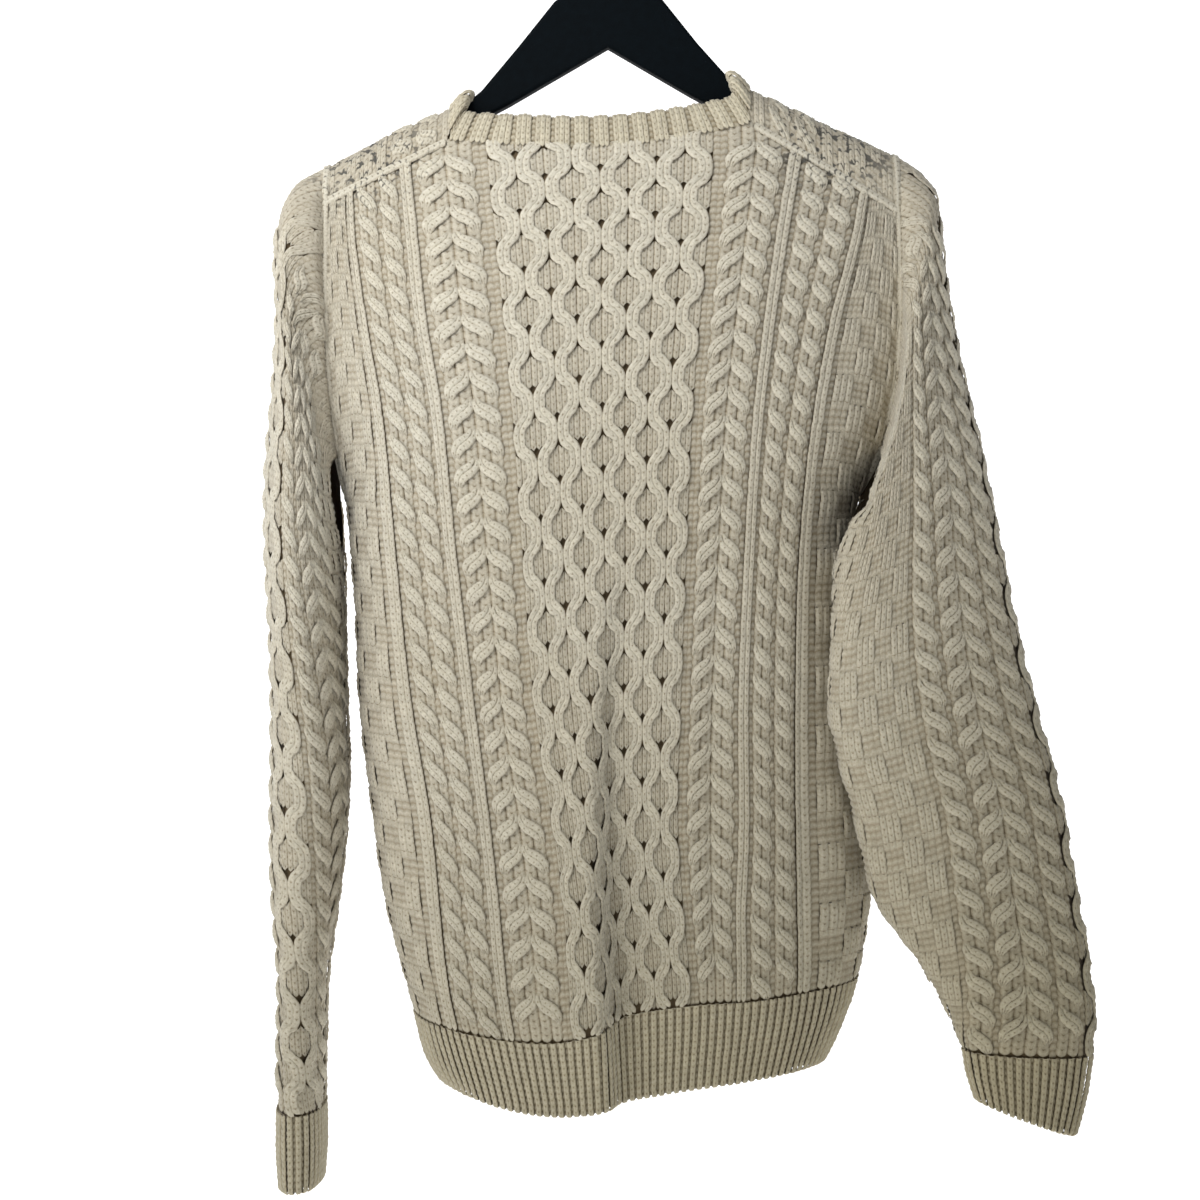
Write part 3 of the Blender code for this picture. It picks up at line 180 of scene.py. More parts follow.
# Where the ribbed hem begins and ends on the back, and on the front: x, upper, lower
BACK_HEM = (
    (-140.0, -745.0, -782.0),
    (-104.0, -752.0, -793.0),
    (-70.0, -756.0, -802.0),
    (-35.0, -756.0, -805.0),
    (-10.0, -750.0, -802.0),
    (12.0, -741.0, -797.0),
    (45.0, -734.0, -790.0),
    (90.0, -731.0, -784.0),
    (130.0, -727.0, -779.0),
    (165.0, -724.0, -776.0),
)
FRONT_HEM = (
    (-140.0, -745.0, -784.0),
    (-60.0, -748.0, -792.0),
    (10.0, -745.0, -793.0),
    (90.0, -736.0, -787.0),
    (165.0, -724.0, -778.0),
)
# Front bands and buttons
BAND_HALF = 15.0
FRONT_MIDDLE_TOP_X = -2.0
FRONT_MIDDLE_FOOT_X = 9.0
BUTTON_COUNT = 7
# Neckband: its width, narrower and lifted where it passes over the shoulders
NECKBAND_WIDTH = 22.0
NECKBAND_SIDE_WIDTH = 17.0
NECKBAND_SIDE_LIFT = 1.7
# Sleeve rings past the armhole: outer x, y, z, inner x, y, z, half depth
LEFT_SLEEVE = (
    (-196.0, 0.0, -190.5, -176.0, 0.0, -412.0, 33.0),
    (-207.0, 0.0, -197.5, -177.0, 0.0, -416.0, 39.0),
    (-216.0, 0.0, -212.0, -177.5, 0.0, -421.0, 45.0),
    (-219.5, -1.0, -235.0, -178.0, 0.0, -428.0, 50.0),
    (-218.0, -2.0, -275.0, -178.0, 0.0, -438.0, 55.0),
    (-220.0, -2.0, -329.0, -178.0, 0.0, -453.0, 59.0),
    (-225.0, -2.0, -390.0, -178.0, 0.0, -476.0, 61.0),
    (-225.0, -2.0, -440.0, -177.5, 0.0, -504.0, 61.0),
    (-222.0, -3.0, -500.0, -176.5, 0.0, -545.0, 59.0),
    (-221.0, -3.0, -560.0, -175.0, 0.0, -590.0, 56.0),
    (-222.0, -3.0, -620.0, -177.5, 0.0, -640.0, 52.0),
    (-221.0, -2.0, -670.0, -182.5, 0.0, -682.0, 49.0),
    (-217.0, -2.0, -720.0, -189.0, 0.0, -728.0, 46.0),
    (-218.0, 0.0, -770.0, -190.5, 0.0, -775.0, 42.0),
    (-219.0, 0.0, -812.0, -191.0, 0.0, -812.0, 36.0),
)
LEFT_CUFF = (
    (-219.0, 0.0, -812.3, -191.0, 0.0, -812.3, 36.0),
    (-219.5, 0.0, -838.0, -190.5, 0.0, -838.0, 34.0),
    (-218.0, 0.0, -864.0, -192.0, 0.0, -862.0, 33.0),
)
RIGHT_SLEEVE = (
    (204.0, -1.0, -187.5, 168.0, -6.0, -415.0, 32.0),
    (214.5, -3.0, -198.5, 160.0, -22.0, -424.0, 36.0),
    (219.0, -6.0, -222.0, 154.0, -36.0, -431.0, 38.0),
    (222.0, -11.0, -258.0, 149.0, -48.0, -440.0, 38.0),
    (230.0, -18.0, -313.0, 146.0, -58.0, -454.0, 36.0),
    (243.0, -27.0, -376.0, 144.0, -64.0, -476.0, 33.0),
    (254.0, -33.0, -436.0, 143.0, -65.0, -508.0, 30.0),
    (264.0, -38.0, -492.0, 141.0, -66.0, -546.0, 29.0),
    (277.0, -42.0, -548.0, 148.0, -64.0, -580.0, 28.0),
    (291.0, -45.0, -602.0, 158.0, -60.0, -615.0, 28.0),
    (300.0, -47.0, -656.0, 172.0, -56.0, -668.0, 27.0),
    (308.5, -48.0, -706.0, 201.0, -52.0, -710.0, 25.0),
    (312.5, -48.0, -742.0, 220.0, -48.0, -742.0, 23.0),
    (311.5, -48.0, -768.0, 230.0, -48.0, -765.0, 21.0),
)
RIGHT_CUFF = (
    (311.5, -48.0, -768.3, 230.0, -48.0, -765.3, 21.0),
    (307.5, -48.0, -794.0, 233.0, -48.0, -781.0, 20.0),
    (301.0, -48.0, -819.0, 238.0, -48.0, -797.0, 19.0),
)
# Hanger: a flat arm with a raised hub; the upper edge from the hub to the cloth
HANGER_HALF_THICK = 5.5
HANGER_BEVEL = 2.4
# How far the arms' upper edge lies under the shoulder line: x, distance
HANGER_TUCK = (
    (-203.0, 11.0),
    (-190.0, 7.5),
    (-172.0, 5.8),
    (-146.0, 5.8),
    (-113.0, 6.2),
    (113.0, 6.2),
    (147.0, 5.8),
    (164.0, 5.8),
    (190.0, 7.5),
    (203.0, 11.0),
)
ARM_UPPER = (
    (-100.0, -150.5),
    (-92.0, -141.5),
    (-84.5, -135.3),
    (-60.0, -106.0),
    (-36.0, -76.0),
    (-24.0, -66.0),
    (24.0, -66.0),
    (36.0, -74.0),
    (60.0, -104.0),
    (78.0, -124.0),
    (84.0, -130.0),
    (91.0, -139.5),
)
ARM_UNDER = (
    (-205.0, -221.0),
    (-140.0, -184.0),
    (-66.0, -145.0),
    (0.0, -106.5),
    (54.0, -138.0),
    (135.0, -182.0),
    (203.0, -217.0),
)
HOOK_WIRE = 2.1
HOOK_RADIUS = 21.0
HOOK_TURN = math.radians(205.0)
STEM_TOP_Z = -54.0
HUB_TOP_Z = -66.0
# Dark neck label inside the back neck, seen through the open stitches: left, right, foot, top
LABEL_BOX = (-31.0, 20.0, -222.0, -181.0)
# Fineness of the body's sections and of the table of its faces
SECTION_POINTS = 361
LOOKUP_STEP = 2.0
STITCH_STEP = 0.5
# Sleeve rings: points, how square they are, and how far they stay off the armhole's edge
RING_POINTS = 144
RING_SQUARE = 2.2
ARMHOLE_GAP = 1.2
ARMHOLE_SPREAD = 0.04
# The camera looks along +Y: its place, and the width that the frame shows at the origin's depth
CAMERA_X = -5.4
CAMERA_Z = -475.7
CAMERA_BACK = 1350.0
FRAME_WIDTH = 804.0


def unit(vectors):
    """The same directions, one long."""
    return vectors / np.linalg.norm(vectors, axis=-1, keepdims=True)


def running_length(points):
    """Length along a line of points, from 0 at the first."""
    steps = np.linalg.norm(np.diff(points, axis=0), axis=-1)
    return np.concatenate(([0.0], np.cumsum(steps)))


def along_line(targets, length, points):
    """Points of a line at the target lengths."""
    return np.stack([np.interp(targets, length, points[:, axis]) for axis in range(3)], axis=-1)


def grid_faces(rows, columns):
    """Faces between the neighbours of a grid of points."""
    corner = np.arange(rows - 1)[:, None] * columns + np.arange(columns - 1)[None, :]
    return np.stack([corner, corner + 1, corner + 1 + columns, corner + columns], axis=-1)


def column(table, index):
    """One named column of a table, as an array."""
    return np.array([row[index] for row in table], dtype=float)


def smooth_table(table, key, index):
    """Value of a column at key, on a smooth curve through the table's rows."""
    keys = column(table, 0)
    values = column(table, index)
    if keys[0] > keys[-1]:
        keys = keys[::-1]
        values = values[::-1]
    slopes = np.gradient(values, keys)
    key = np.clip(np.asarray(key, dtype=float), keys[0], keys[-1])
    low = np.clip(np.searchsorted(keys, key) - 1, 0, len(keys) - 2)
    span = keys[low + 1] - keys[low]
    part = (key - keys[low]) / span
    first = (1 + 2 * part) * (1 - part) ** 2 * values[low]
    second = part * (1 - part) ** 2 * span * slopes[low]
    third = part ** 2 * (3 - 2 * part) * values[low + 1]
    fourth = part ** 2 * (part - 1) * span * slopes[low + 1]
    return first + second + third + fourth


def linear_table(table, key, index):
    """Value of a column at key, straight between the table's rows."""
    return np.interp(key, column(table, 0), column(table, index))


def crest(x):
    return linear_table(SHOULDER, x, 1)


def shoulder_seam(x):
    return linear_table(SHOULDER_SEAMS, x, 1)


def back_top(x):
    """Upper edge of the back: the two shoulder seams and the neckline between them."""
    x = np.asarray(x, dtype=float)
    shoulder = shoulder_seam(x)
    neckline = smooth_table(BACK_NECK, x, 1)
    inside = (x > NECK_LEFT_X) & (x < NECK_RIGHT_X)
    return np.where(inside, neckline, shoulder)


def trough_depth(side, x, z):
    """Sum of the soft troughs on one side of the body."""
    total = np.zeros(np.broadcast(x, z).shape)
    for trough_side, x_top, x_foot, z_top, z_foot, width, depth in TROUGHS:
        if trough_side != side:
            continue
        along = np.clip((z - z_top) / (z_foot - z_top), 0.0, 1.0)
        middle = x_top + (x_foot - x_top) * along
        swell = np.sin(math.pi * np.clip(along, 0.0, 1.0)) ** 0.7
        total = total + depth * swell * np.exp(-((x - middle) / width) ** 2)
    return total


def centre_fold(x, z):
    """Step of the back's centre fold: proud on its left, sunk on its right."""
    middle = smooth_table(CENTRE_FOLD, z, 1)
    depth = np.maximum(smooth_table(CENTRE_FOLD, z, 2), 0.0)
    away = x - middle
    return depth * np.tanh(away / FOLD_EDGE) * np.exp(-(np.abs(away) / FOLD_REACH) ** 1.5)


def side_middle(z):
    return 0.5 * (smooth_table(SIDES, z, 1) + smooth_table(SIDES, z, 2))


def side_half(z):
    return 0.5 * (smooth_table(SIDES, z, 2) - smooth_table(SIDES, z, 1))


def body_y(side, x, z):
    """Depth of the body's outer face at x and z; side is -1 for the back, 1 for the front."""
    x = np.asarray(x, dtype=float)
    z = np.asarray(z, dtype=float)
    drop = np.maximum(crest(x) - z, 0.0)
    depth = smooth_table(DEPTHS, drop, 1 if side < 0 else 2)
    share = np.clip(np.abs((x - side_middle(z)) / side_half(z)), 0.0, 1.0)
    round_off = np.maximum(1.0 - share ** SQUARENESS, 0.0) ** (1.0 / SQUARENESS)
    soft = round_off ** 2
    inward = trough_depth(side, x, z)
    if side < 0:
        inward = inward + centre_fold(x, z)
    return side * (depth * round_off - inward * soft)


def edge_x(z, right):
    """Side seam below the underarm and armhole above it."""
    index = 2 if right else 1
    below = smooth_table(SIDES, z, index)
    above = smooth_table(ARMHOLES, z, index)
    return np.where(np.asarray(z) > UNDERARM_Z, above, below)


def front_middle(z):
    """Centre line of the front bands, straight from the neck to the hem."""
    share = (np.asarray(z, dtype=float) - FRONT_NECK_Z) / (LOWEST_Z - FRONT_NECK_Z)
    return FRONT_MIDDLE_TOP_X + (FRONT_MIDDLE_FOOT_X - FRONT_MIDDLE_TOP_X) * share


def section_line(side, z):
    """One dense horizontal section of the body from its left edge to its right edge."""
    angle = np.linspace(0.0, math.pi, SECTION_POINTS)
    power = 2.0 / SQUARENESS
    cosine = np.cos(angle)
    x = side_middle(z) - side_half(z) * np.sign(cosine) * np.abs(cosine) ** power
    y = body_y(side, x, z)
    return x, y


def wale_nodes(side, z):
    """The knitted columns' guides at one height: their stitches and their x."""
    left = float(edge_x(z, False))
    right = float(edge_x(z, True))
    if side < 0:
        inner = [float(smooth_table(WALES, z, index)) for index in range(1, 7)]
        return WALE_STITCHES, np.array([left] + inner + [right])
    middle = float(front_middle(z))
    reach = min(middle - left, right - middle)
    outward = [BAND_HALF] + [share * reach for share in FRONT_SHARES]
    stitch = [BAND_STITCH] + list(FRONT_STITCHES) + [EDGE_STITCH]
    places = [left] + [middle - value for value in reversed(outward)]
    places += [middle + value for value in outward] + [right]
    return [-value for value in reversed(stitch)] + stitch, np.array(places)


def build_lookup(side):
    """Table of x and y over stitches and heights, even along the cloth."""
    heights = np.arange(LOWEST_Z, -130.0, LOOKUP_STEP)
    stitches = np.arange(-EDGE_STITCH, EDGE_STITCH + STITCH_STEP / 2, STITCH_STEP)
    grid_x = np.zeros((len(heights), len(stitches)))
    grid_y = np.zeros_like(grid_x)
    for row, z in enumerate(heights):
        x, y = section_line(side, z)
        steps = np.hypot(np.diff(x), np.diff(y))
        length = np.concatenate(([0.0], np.cumsum(steps)))
        guides, places = wale_nodes(side, z)
        along = np.interp(stitches, guides, np.interp(places, x, length))
        grid_x[row] = np.interp(along, length, x)
        grid_y[row] = np.interp(along, length, y)
    return heights, stitches, grid_x, grid_y


LOOKUPS = {-1: build_lookup(-1), 1: build_lookup(1)}


def body_point(side, stitch, z):
    """Point of the body's outer face at a stitch and a height, as arrays."""
    heights, stitches, grid_x, grid_y = LOOKUPS[side]
    stitch, z = np.broadcast_arrays(np.asarray(stitch, float), np.asarray(z, float))
    across = np.clip((stitch - stitches[0]) / STITCH_STEP, 0, len(stitches) - 1.001)
    up = np.clip((z - heights[0]) / LOOKUP_STEP, 0, len(heights) - 1.001)
    i = up.astype(int)
    j = across.astype(int)
    fi = up - i
    fj = across - j

    def mix(grid):
        low = grid[i, j] * (1 - fj) + grid[i, j + 1] * fj
        high = grid[i + 1, j] * (1 - fj) + grid[i + 1, j + 1] * fj
        return low * (1 - fi) + high * fi

    return np.stack([mix(grid_x), mix(grid_y), z], axis=-1)


def body_normal(side, stitch, z):
    """Outward unit normal of the body's face, the same for every piece that meets there."""
    step = 2.0
    across = body_point(side, stitch + STITCH_STEP, z) - body_point(side, stitch - STITCH_STEP, z)
    up = body_point(side, stitch, z + step) - body_point(side, stitch, z - step)
    normal = -side * np.cross(across, up)
    return unit(normal)


def column_top_z(side, stitch):
    """Upper edge of the back at a stitch, found where the column meets it."""
    z = np.full(len(stitch), -180.0)
    for _ in range(12):
        x = body_point(side, stitch, z)[:, 0]
        z = 0.5 * z + 0.5 * back_top(x)
    return z


def column_foot_z(side, stitch, table, index):
    """Where a column meets the hem's seam or lower edge."""
    z = np.full(len(stitch), -750.0)
    for _ in range(12):
        x = body_point(side, stitch, z)[:, 0]
        z = 0.5 * z + 0.5 * smooth_table(table, x, index)
    return z


def neck_curve(left, share):
    """Front neckline from the front band up to the wrap over the shoulder: x and z."""
    sign = -1.0 if left else 1.0
    x_low = float(front_middle(FRONT_NECK_Z)) + sign * BAND_HALF
    x_high = NECK_LEFT_X if left else NECK_RIGHT_X
    z_high = float(shoulder_seam(x_high))
    x = x_low + (x_high - x_low) * np.sin(share * math.pi / 2)
    z = FRONT_NECK_Z + (z_high - FRONT_NECK_Z) * (1.0 - np.cos(share * math.pi / 2))
    return x, z


def wrap_point(x, turn):
    """Cloth over the shoulder at x: turn is 0 on the front side and pi at the back seam."""
    z_low = shoulder_seam(x)
    drop = crest(x) - z_low
    front = body_y(1, x, z_low)
    back = body_y(-1, x, z_low)
    middle = 0.5 * (front + back)
    half = 0.5 * (front - back)
    y = middle + half * np.cos(turn)
    return np.stack([x + 0 * turn, y, z_low + drop * np.sin(turn)], axis=-1)


def neck_path():
    """Base line of the neckband from the right front over the back to the left front, with
    the cloth's outward direction and how far each point is on top of a shoulder."""
    share = np.linspace(0.0, 1.0, 40)
    turns = np.linspace(0.0, math.pi, 24)[1:]
    wrap_out = np.stack([0 * turns, np.cos(turns), np.sin(turns)], axis=-1)
    front_out = np.tile((0.0, 1.0, 0.0), (len(share), 1))
    x, z = neck_curve(False, share)
    right = np.stack([x, body_y(1, x, z) + SEAM / 2, z], axis=-1)
    back_x = np.linspace(NECK_RIGHT_X, NECK_LEFT_X, 60)[1:-1]
    back_z = back_top(back_x)
    back = np.stack([back_x, body_y(-1, back_x, back_z) - SEAM / 2, back_z], axis=-1)
    back_out = np.tile((0.0, -1.0, 0.0), (len(back), 1))
    x, z = neck_curve(True, share[::-1])
    left = np.stack([x, body_y(1, x, z) + SEAM / 2, z], axis=-1)
    right_wrap = wrap_point(NECK_RIGHT_X, turns)
    left_wrap = wrap_point(NECK_LEFT_X, turns[::-1])
    path = np.concatenate([right, right_wrap, back, left_wrap, left], axis=0)
    outward = np.concatenate([front_out, wrap_out, back_out, wrap_out[::-1], front_out], axis=0)
    on_top = np.concatenate([0 * share, np.sin(turns), 0 * back_x, np.sin(turns[::-1]), 0 * share])
    return path, outward, on_top


def smooth_along(values, reach):
    """Running mean along a path, with its ends held."""
    kernel = np.ones(2 * reach + 1) / (2 * reach + 1)
    padded = np.pad(values, ((reach, reach), (0, 0)), mode="edge")
    return np.stack([np.convolve(padded[:, axis], kernel, "valid") for axis in range(3)], axis=-1)


def armhole_ring(left):
    """Armhole seam as a ring: crest first, then down behind, the underarm, and up in front."""
    right = not left
    x_top = float(edge_x(-186.0, right))
    seam_turns = np.linspace(math.pi / 2, math.pi, 12)
    behind = wrap_point(x_top, seam_turns)
    z = np.linspace(behind[-1, 2] - 2.0, UNDERARM_Z, 60)
    x = edge_x(z, right)
    back = np.stack([x, body_y(-1, x, z), z], axis=-1)
    ahead = wrap_point(x_top, np.linspace(0.0, math.pi / 2, 12))
    front = np.stack([x, body_y(1, x, z), z], axis=-1)[::-1]
    ring = np.concatenate([behind, back, front[1:], ahead], axis=0)
    length = running_length(ring)
    foot = len(behind) + len(back) - 1
    half = RING_POINTS // 2
    spread = 0.5 - 0.5 * np.cos(np.arange(half) * math.pi / half)
    targets = np.concatenate([
        length[foot] * spread,
        length[foot] + (length[-1] - length[foot]) * spread,
    ])
    points = along_line(targets, length, ring)
    points[:, 0] += -ARMHOLE_GAP if left else ARMHOLE_GAP
    return points


def sleeve_ring(row):
    """One ring of a sleeve from its table row; the first point is the outer one."""
    outer = np.array(row[0:3])
    inner = np.array(row[3:6])
    middle = 0.5 * (outer + inner)
    reach = 0.5 * (outer - inner)
    angle = 2 * math.pi * np.arange(RING_POINTS) / RING_POINTS
    power = 2.0 / RING_SQUARE
    cosine = np.sign(np.cos(angle)) * np.abs(np.cos(angle)) ** power
    sine = np.sign(np.sin(angle)) * np.abs(np.sin(angle)) ** power
    deep = np.array((0.0, -row[6], 0.0))
    return middle + cosine[:, None] * reach + sine[:, None] * deep


def keep_outside(rings, left):
    """Rings, armhole last, moved where needed to stay outside the body's own edge."""
    sign = -1.0 if left else 1.0
    count = rings.shape[0]
    away = (count - 1 - np.arange(count))[:, None]
    z = rings[..., 2]
    edge = sign * edge_x(np.maximum(z, UNDERARM_Z), not left)
    limit = edge + ARMHOLE_GAP + ARMHOLE_SPREAD * away
    near = np.clip((z - UNDERARM_Z + 18.0) / 14.0, 0.0, 1.0)
    outside = np.maximum(sign * rings[..., 0], limit)
    rings[..., 0] += near * (sign * outside - rings[..., 0])
    return rings


# Hanger
def inset(outline, distance):
    """Outline moved inward by a distance, corner by corner."""
    moved = []
    count = len(outline)
    for index, (x, z) in enumerate(outline):
        x_back, z_back = outline[index - 1]
        x_next, z_next = outline[(index + 1) % count]
        back = np.array((x - x_back, z - z_back))
        ahead = np.array((x_next - x, z_next - z))
        back = back / np.linalg.norm(back)
        ahead = ahead / np.linalg.norm(ahead)
        normal = np.array((back[1] + ahead[1], -back[0] - ahead[0]))
        normal = normal / max(np.dot(normal, normal), 1.2)
        moved.append((x + 2 * distance * normal[0], z + 2 * distance * normal[1]))
    return moved


def hanger_outline():
    """Front outline of the hanger: upper edge left to right, then its underside back."""
    under_left = [(x, float(crest(x)) - tuck) for x, tuck in HANGER_TUCK if x < 0]
    under_right = [(x, float(crest(x)) - tuck) for x, tuck in HANGER_TUCK if x > 0]
    return under_left + list(ARM_UPPER) + under_right + list(reversed(ARM_UNDER))

# Knitting: how tall a row is, and the heights that shape one stitch
ROW = 4.75
RIB_ROW = 4.4
RIB_PITCH = 2.6
ACROSS = np.array((-0.5, -0.27, 0.0, 0.27, 0.5))
KNIT_ACROSS = np.array((0.0, 1.0, 0.55, 1.0, 0.0))
PURL_ACROSS = np.array((0.45, 0.85, 1.0, 0.85, 0.45))
KNIT_HEIGHT = 1.35
PURL_HEIGHT = 1.3
KNIT_LEAN = 0.5
PURL_LEAN = -0.16
# Levels of the knitting over the cloth's face
PLAIN_LEVEL = 0.2
RIB_LEVEL = 0.9
PURL_LEVEL = -0.9
RECESS_LEVEL = -0.5
CROSSING = 4.0
# A crossing's leaf: steps, reach in stitches, fall in rows, half width in mm, ends and rise
LEAF_STEPS = 12
LEAF_REACH = 1.5
LEAF_FALL = (1.35, 0.75)
LEAF_WIDTH = 4.6
LEAF_LEVEL = (-0.9, 2.6)
COMB_LEVEL = 1.2
COMB_OVER = 0.9
COMB_INSIDE = -0.35
COMB_PERIOD = 8.6
COMB_SHOWN = 2.35
BACKING_DEPTH = 1.9
STRAND_WIDTH = 1.16
RIB_WIDTH = 1.4
# Stitches from the front's middle to a band's edge, and the two bands' lift off the front
BAND_REACH = 3.45
BAND_LIFTS = (("under_band", 0.1, "button_band"), ("upper_band", 3.4, "buttonhole_band"))
# Sleeves: stitch width, share of the relief, plain rows at the top, and how many stitches the
# left sleeve's columns are turned to the back
SLEEVE_PITCH = 4.1
SLEEVE_RELIEF = 0.9
SLEEVE_PLAIN_ROWS = 12.0
LEFT_SLEEVE_TURN = 13.0


class Cloth:
    """Face of one piece as a table of points over stitches and half rows."""

    def __init__(self, stitches, dense, row):
        self.first = stitches[0]
        self.step = stitches[1] - stitches[0]
        self.stitches = stitches
        self.row = row
        steps = np.linalg.norm(np.diff(dense, axis=0), axis=2)
        length = np.vstack([np.zeros(len(stitches)), np.cumsum(steps, axis=0)])
        self.tops = length[-1] / row
        self.reach = None
        self.calm = None
        rows = np.arange(0.0, self.tops.max() + 3.0, 0.5)
        self.points = np.zeros((len(rows), len(stitches), 3))
        for col in range(len(stitches)):
            target = rows * row
            end = length[-1, col]
            back = max(end - 3.0, 0.0)
            over = target > end
            for axis in range(3):
                line = dense[:, col, axis]
                self.points[:, col, axis] = np.interp(target, length[:, col], line)
                slope = (line[-1] - np.interp(back, length[:, col], line)) / max(end - back, 1e-6)
                self.points[over, col, axis] = line[-1] + slope * (target[over] - end)
        across = np.gradient(self.points, axis=1)
        up = np.gradient(self.points, axis=0)
        normal = np.cross(across, up)
        size = np.linalg.norm(normal, axis=2, keepdims=True)
        self.normals = normal / np.maximum(size, 1e-9)

    def top(self, stitch):
        return np.interp(stitch, self.stitches, self.tops)

    def sample(self, stitch, row):
        """Points and outward normals at stitches and rows of any one shape."""
        across = np.clip((stitch - self.first) / self.step, 0, len(self.stitches) - 1.001)
        up = np.clip(row * 2.0, 0, len(self.points) - 1.001)
        j = across.astype(int)
        i = up.astype(int)
        fj = (across - j)[..., None]
        fi = (up - i)[..., None]
        found = []
        for grid in (self.points, self.normals):
            low = grid[i, j] * (1 - fj) + grid[i, j + 1] * fj
            high = grid[i + 1, j] * (1 - fj) + grid[i + 1, j + 1] * fj
            found.append(low * (1 - fi) + high * fi)
        normal = found[1]
        size = np.linalg.norm(normal, axis=-1, keepdims=True)
        return found[0], normal / np.maximum(size, 1e-9)


class Wale:
    """One column of stitches: its strand's path, its place in it, level, stitch and extent."""

    def __init__(self, path, level, knit=None, offset=0.0, shown=None, width=1.08):
        self.path = path
        self.level = level
        self.knit = knit
        self.offset = offset
        self.shown = shown
        self.width = width


class Crossings:
    """A cable's crossings: their middle stitch, slant, first row and last row."""

    def __init__(self, middle, slant, phase, last):
        self.middle = middle
        self.slant = slant
        self.phase = phase
        self.last = last
        self.path = steady(middle)


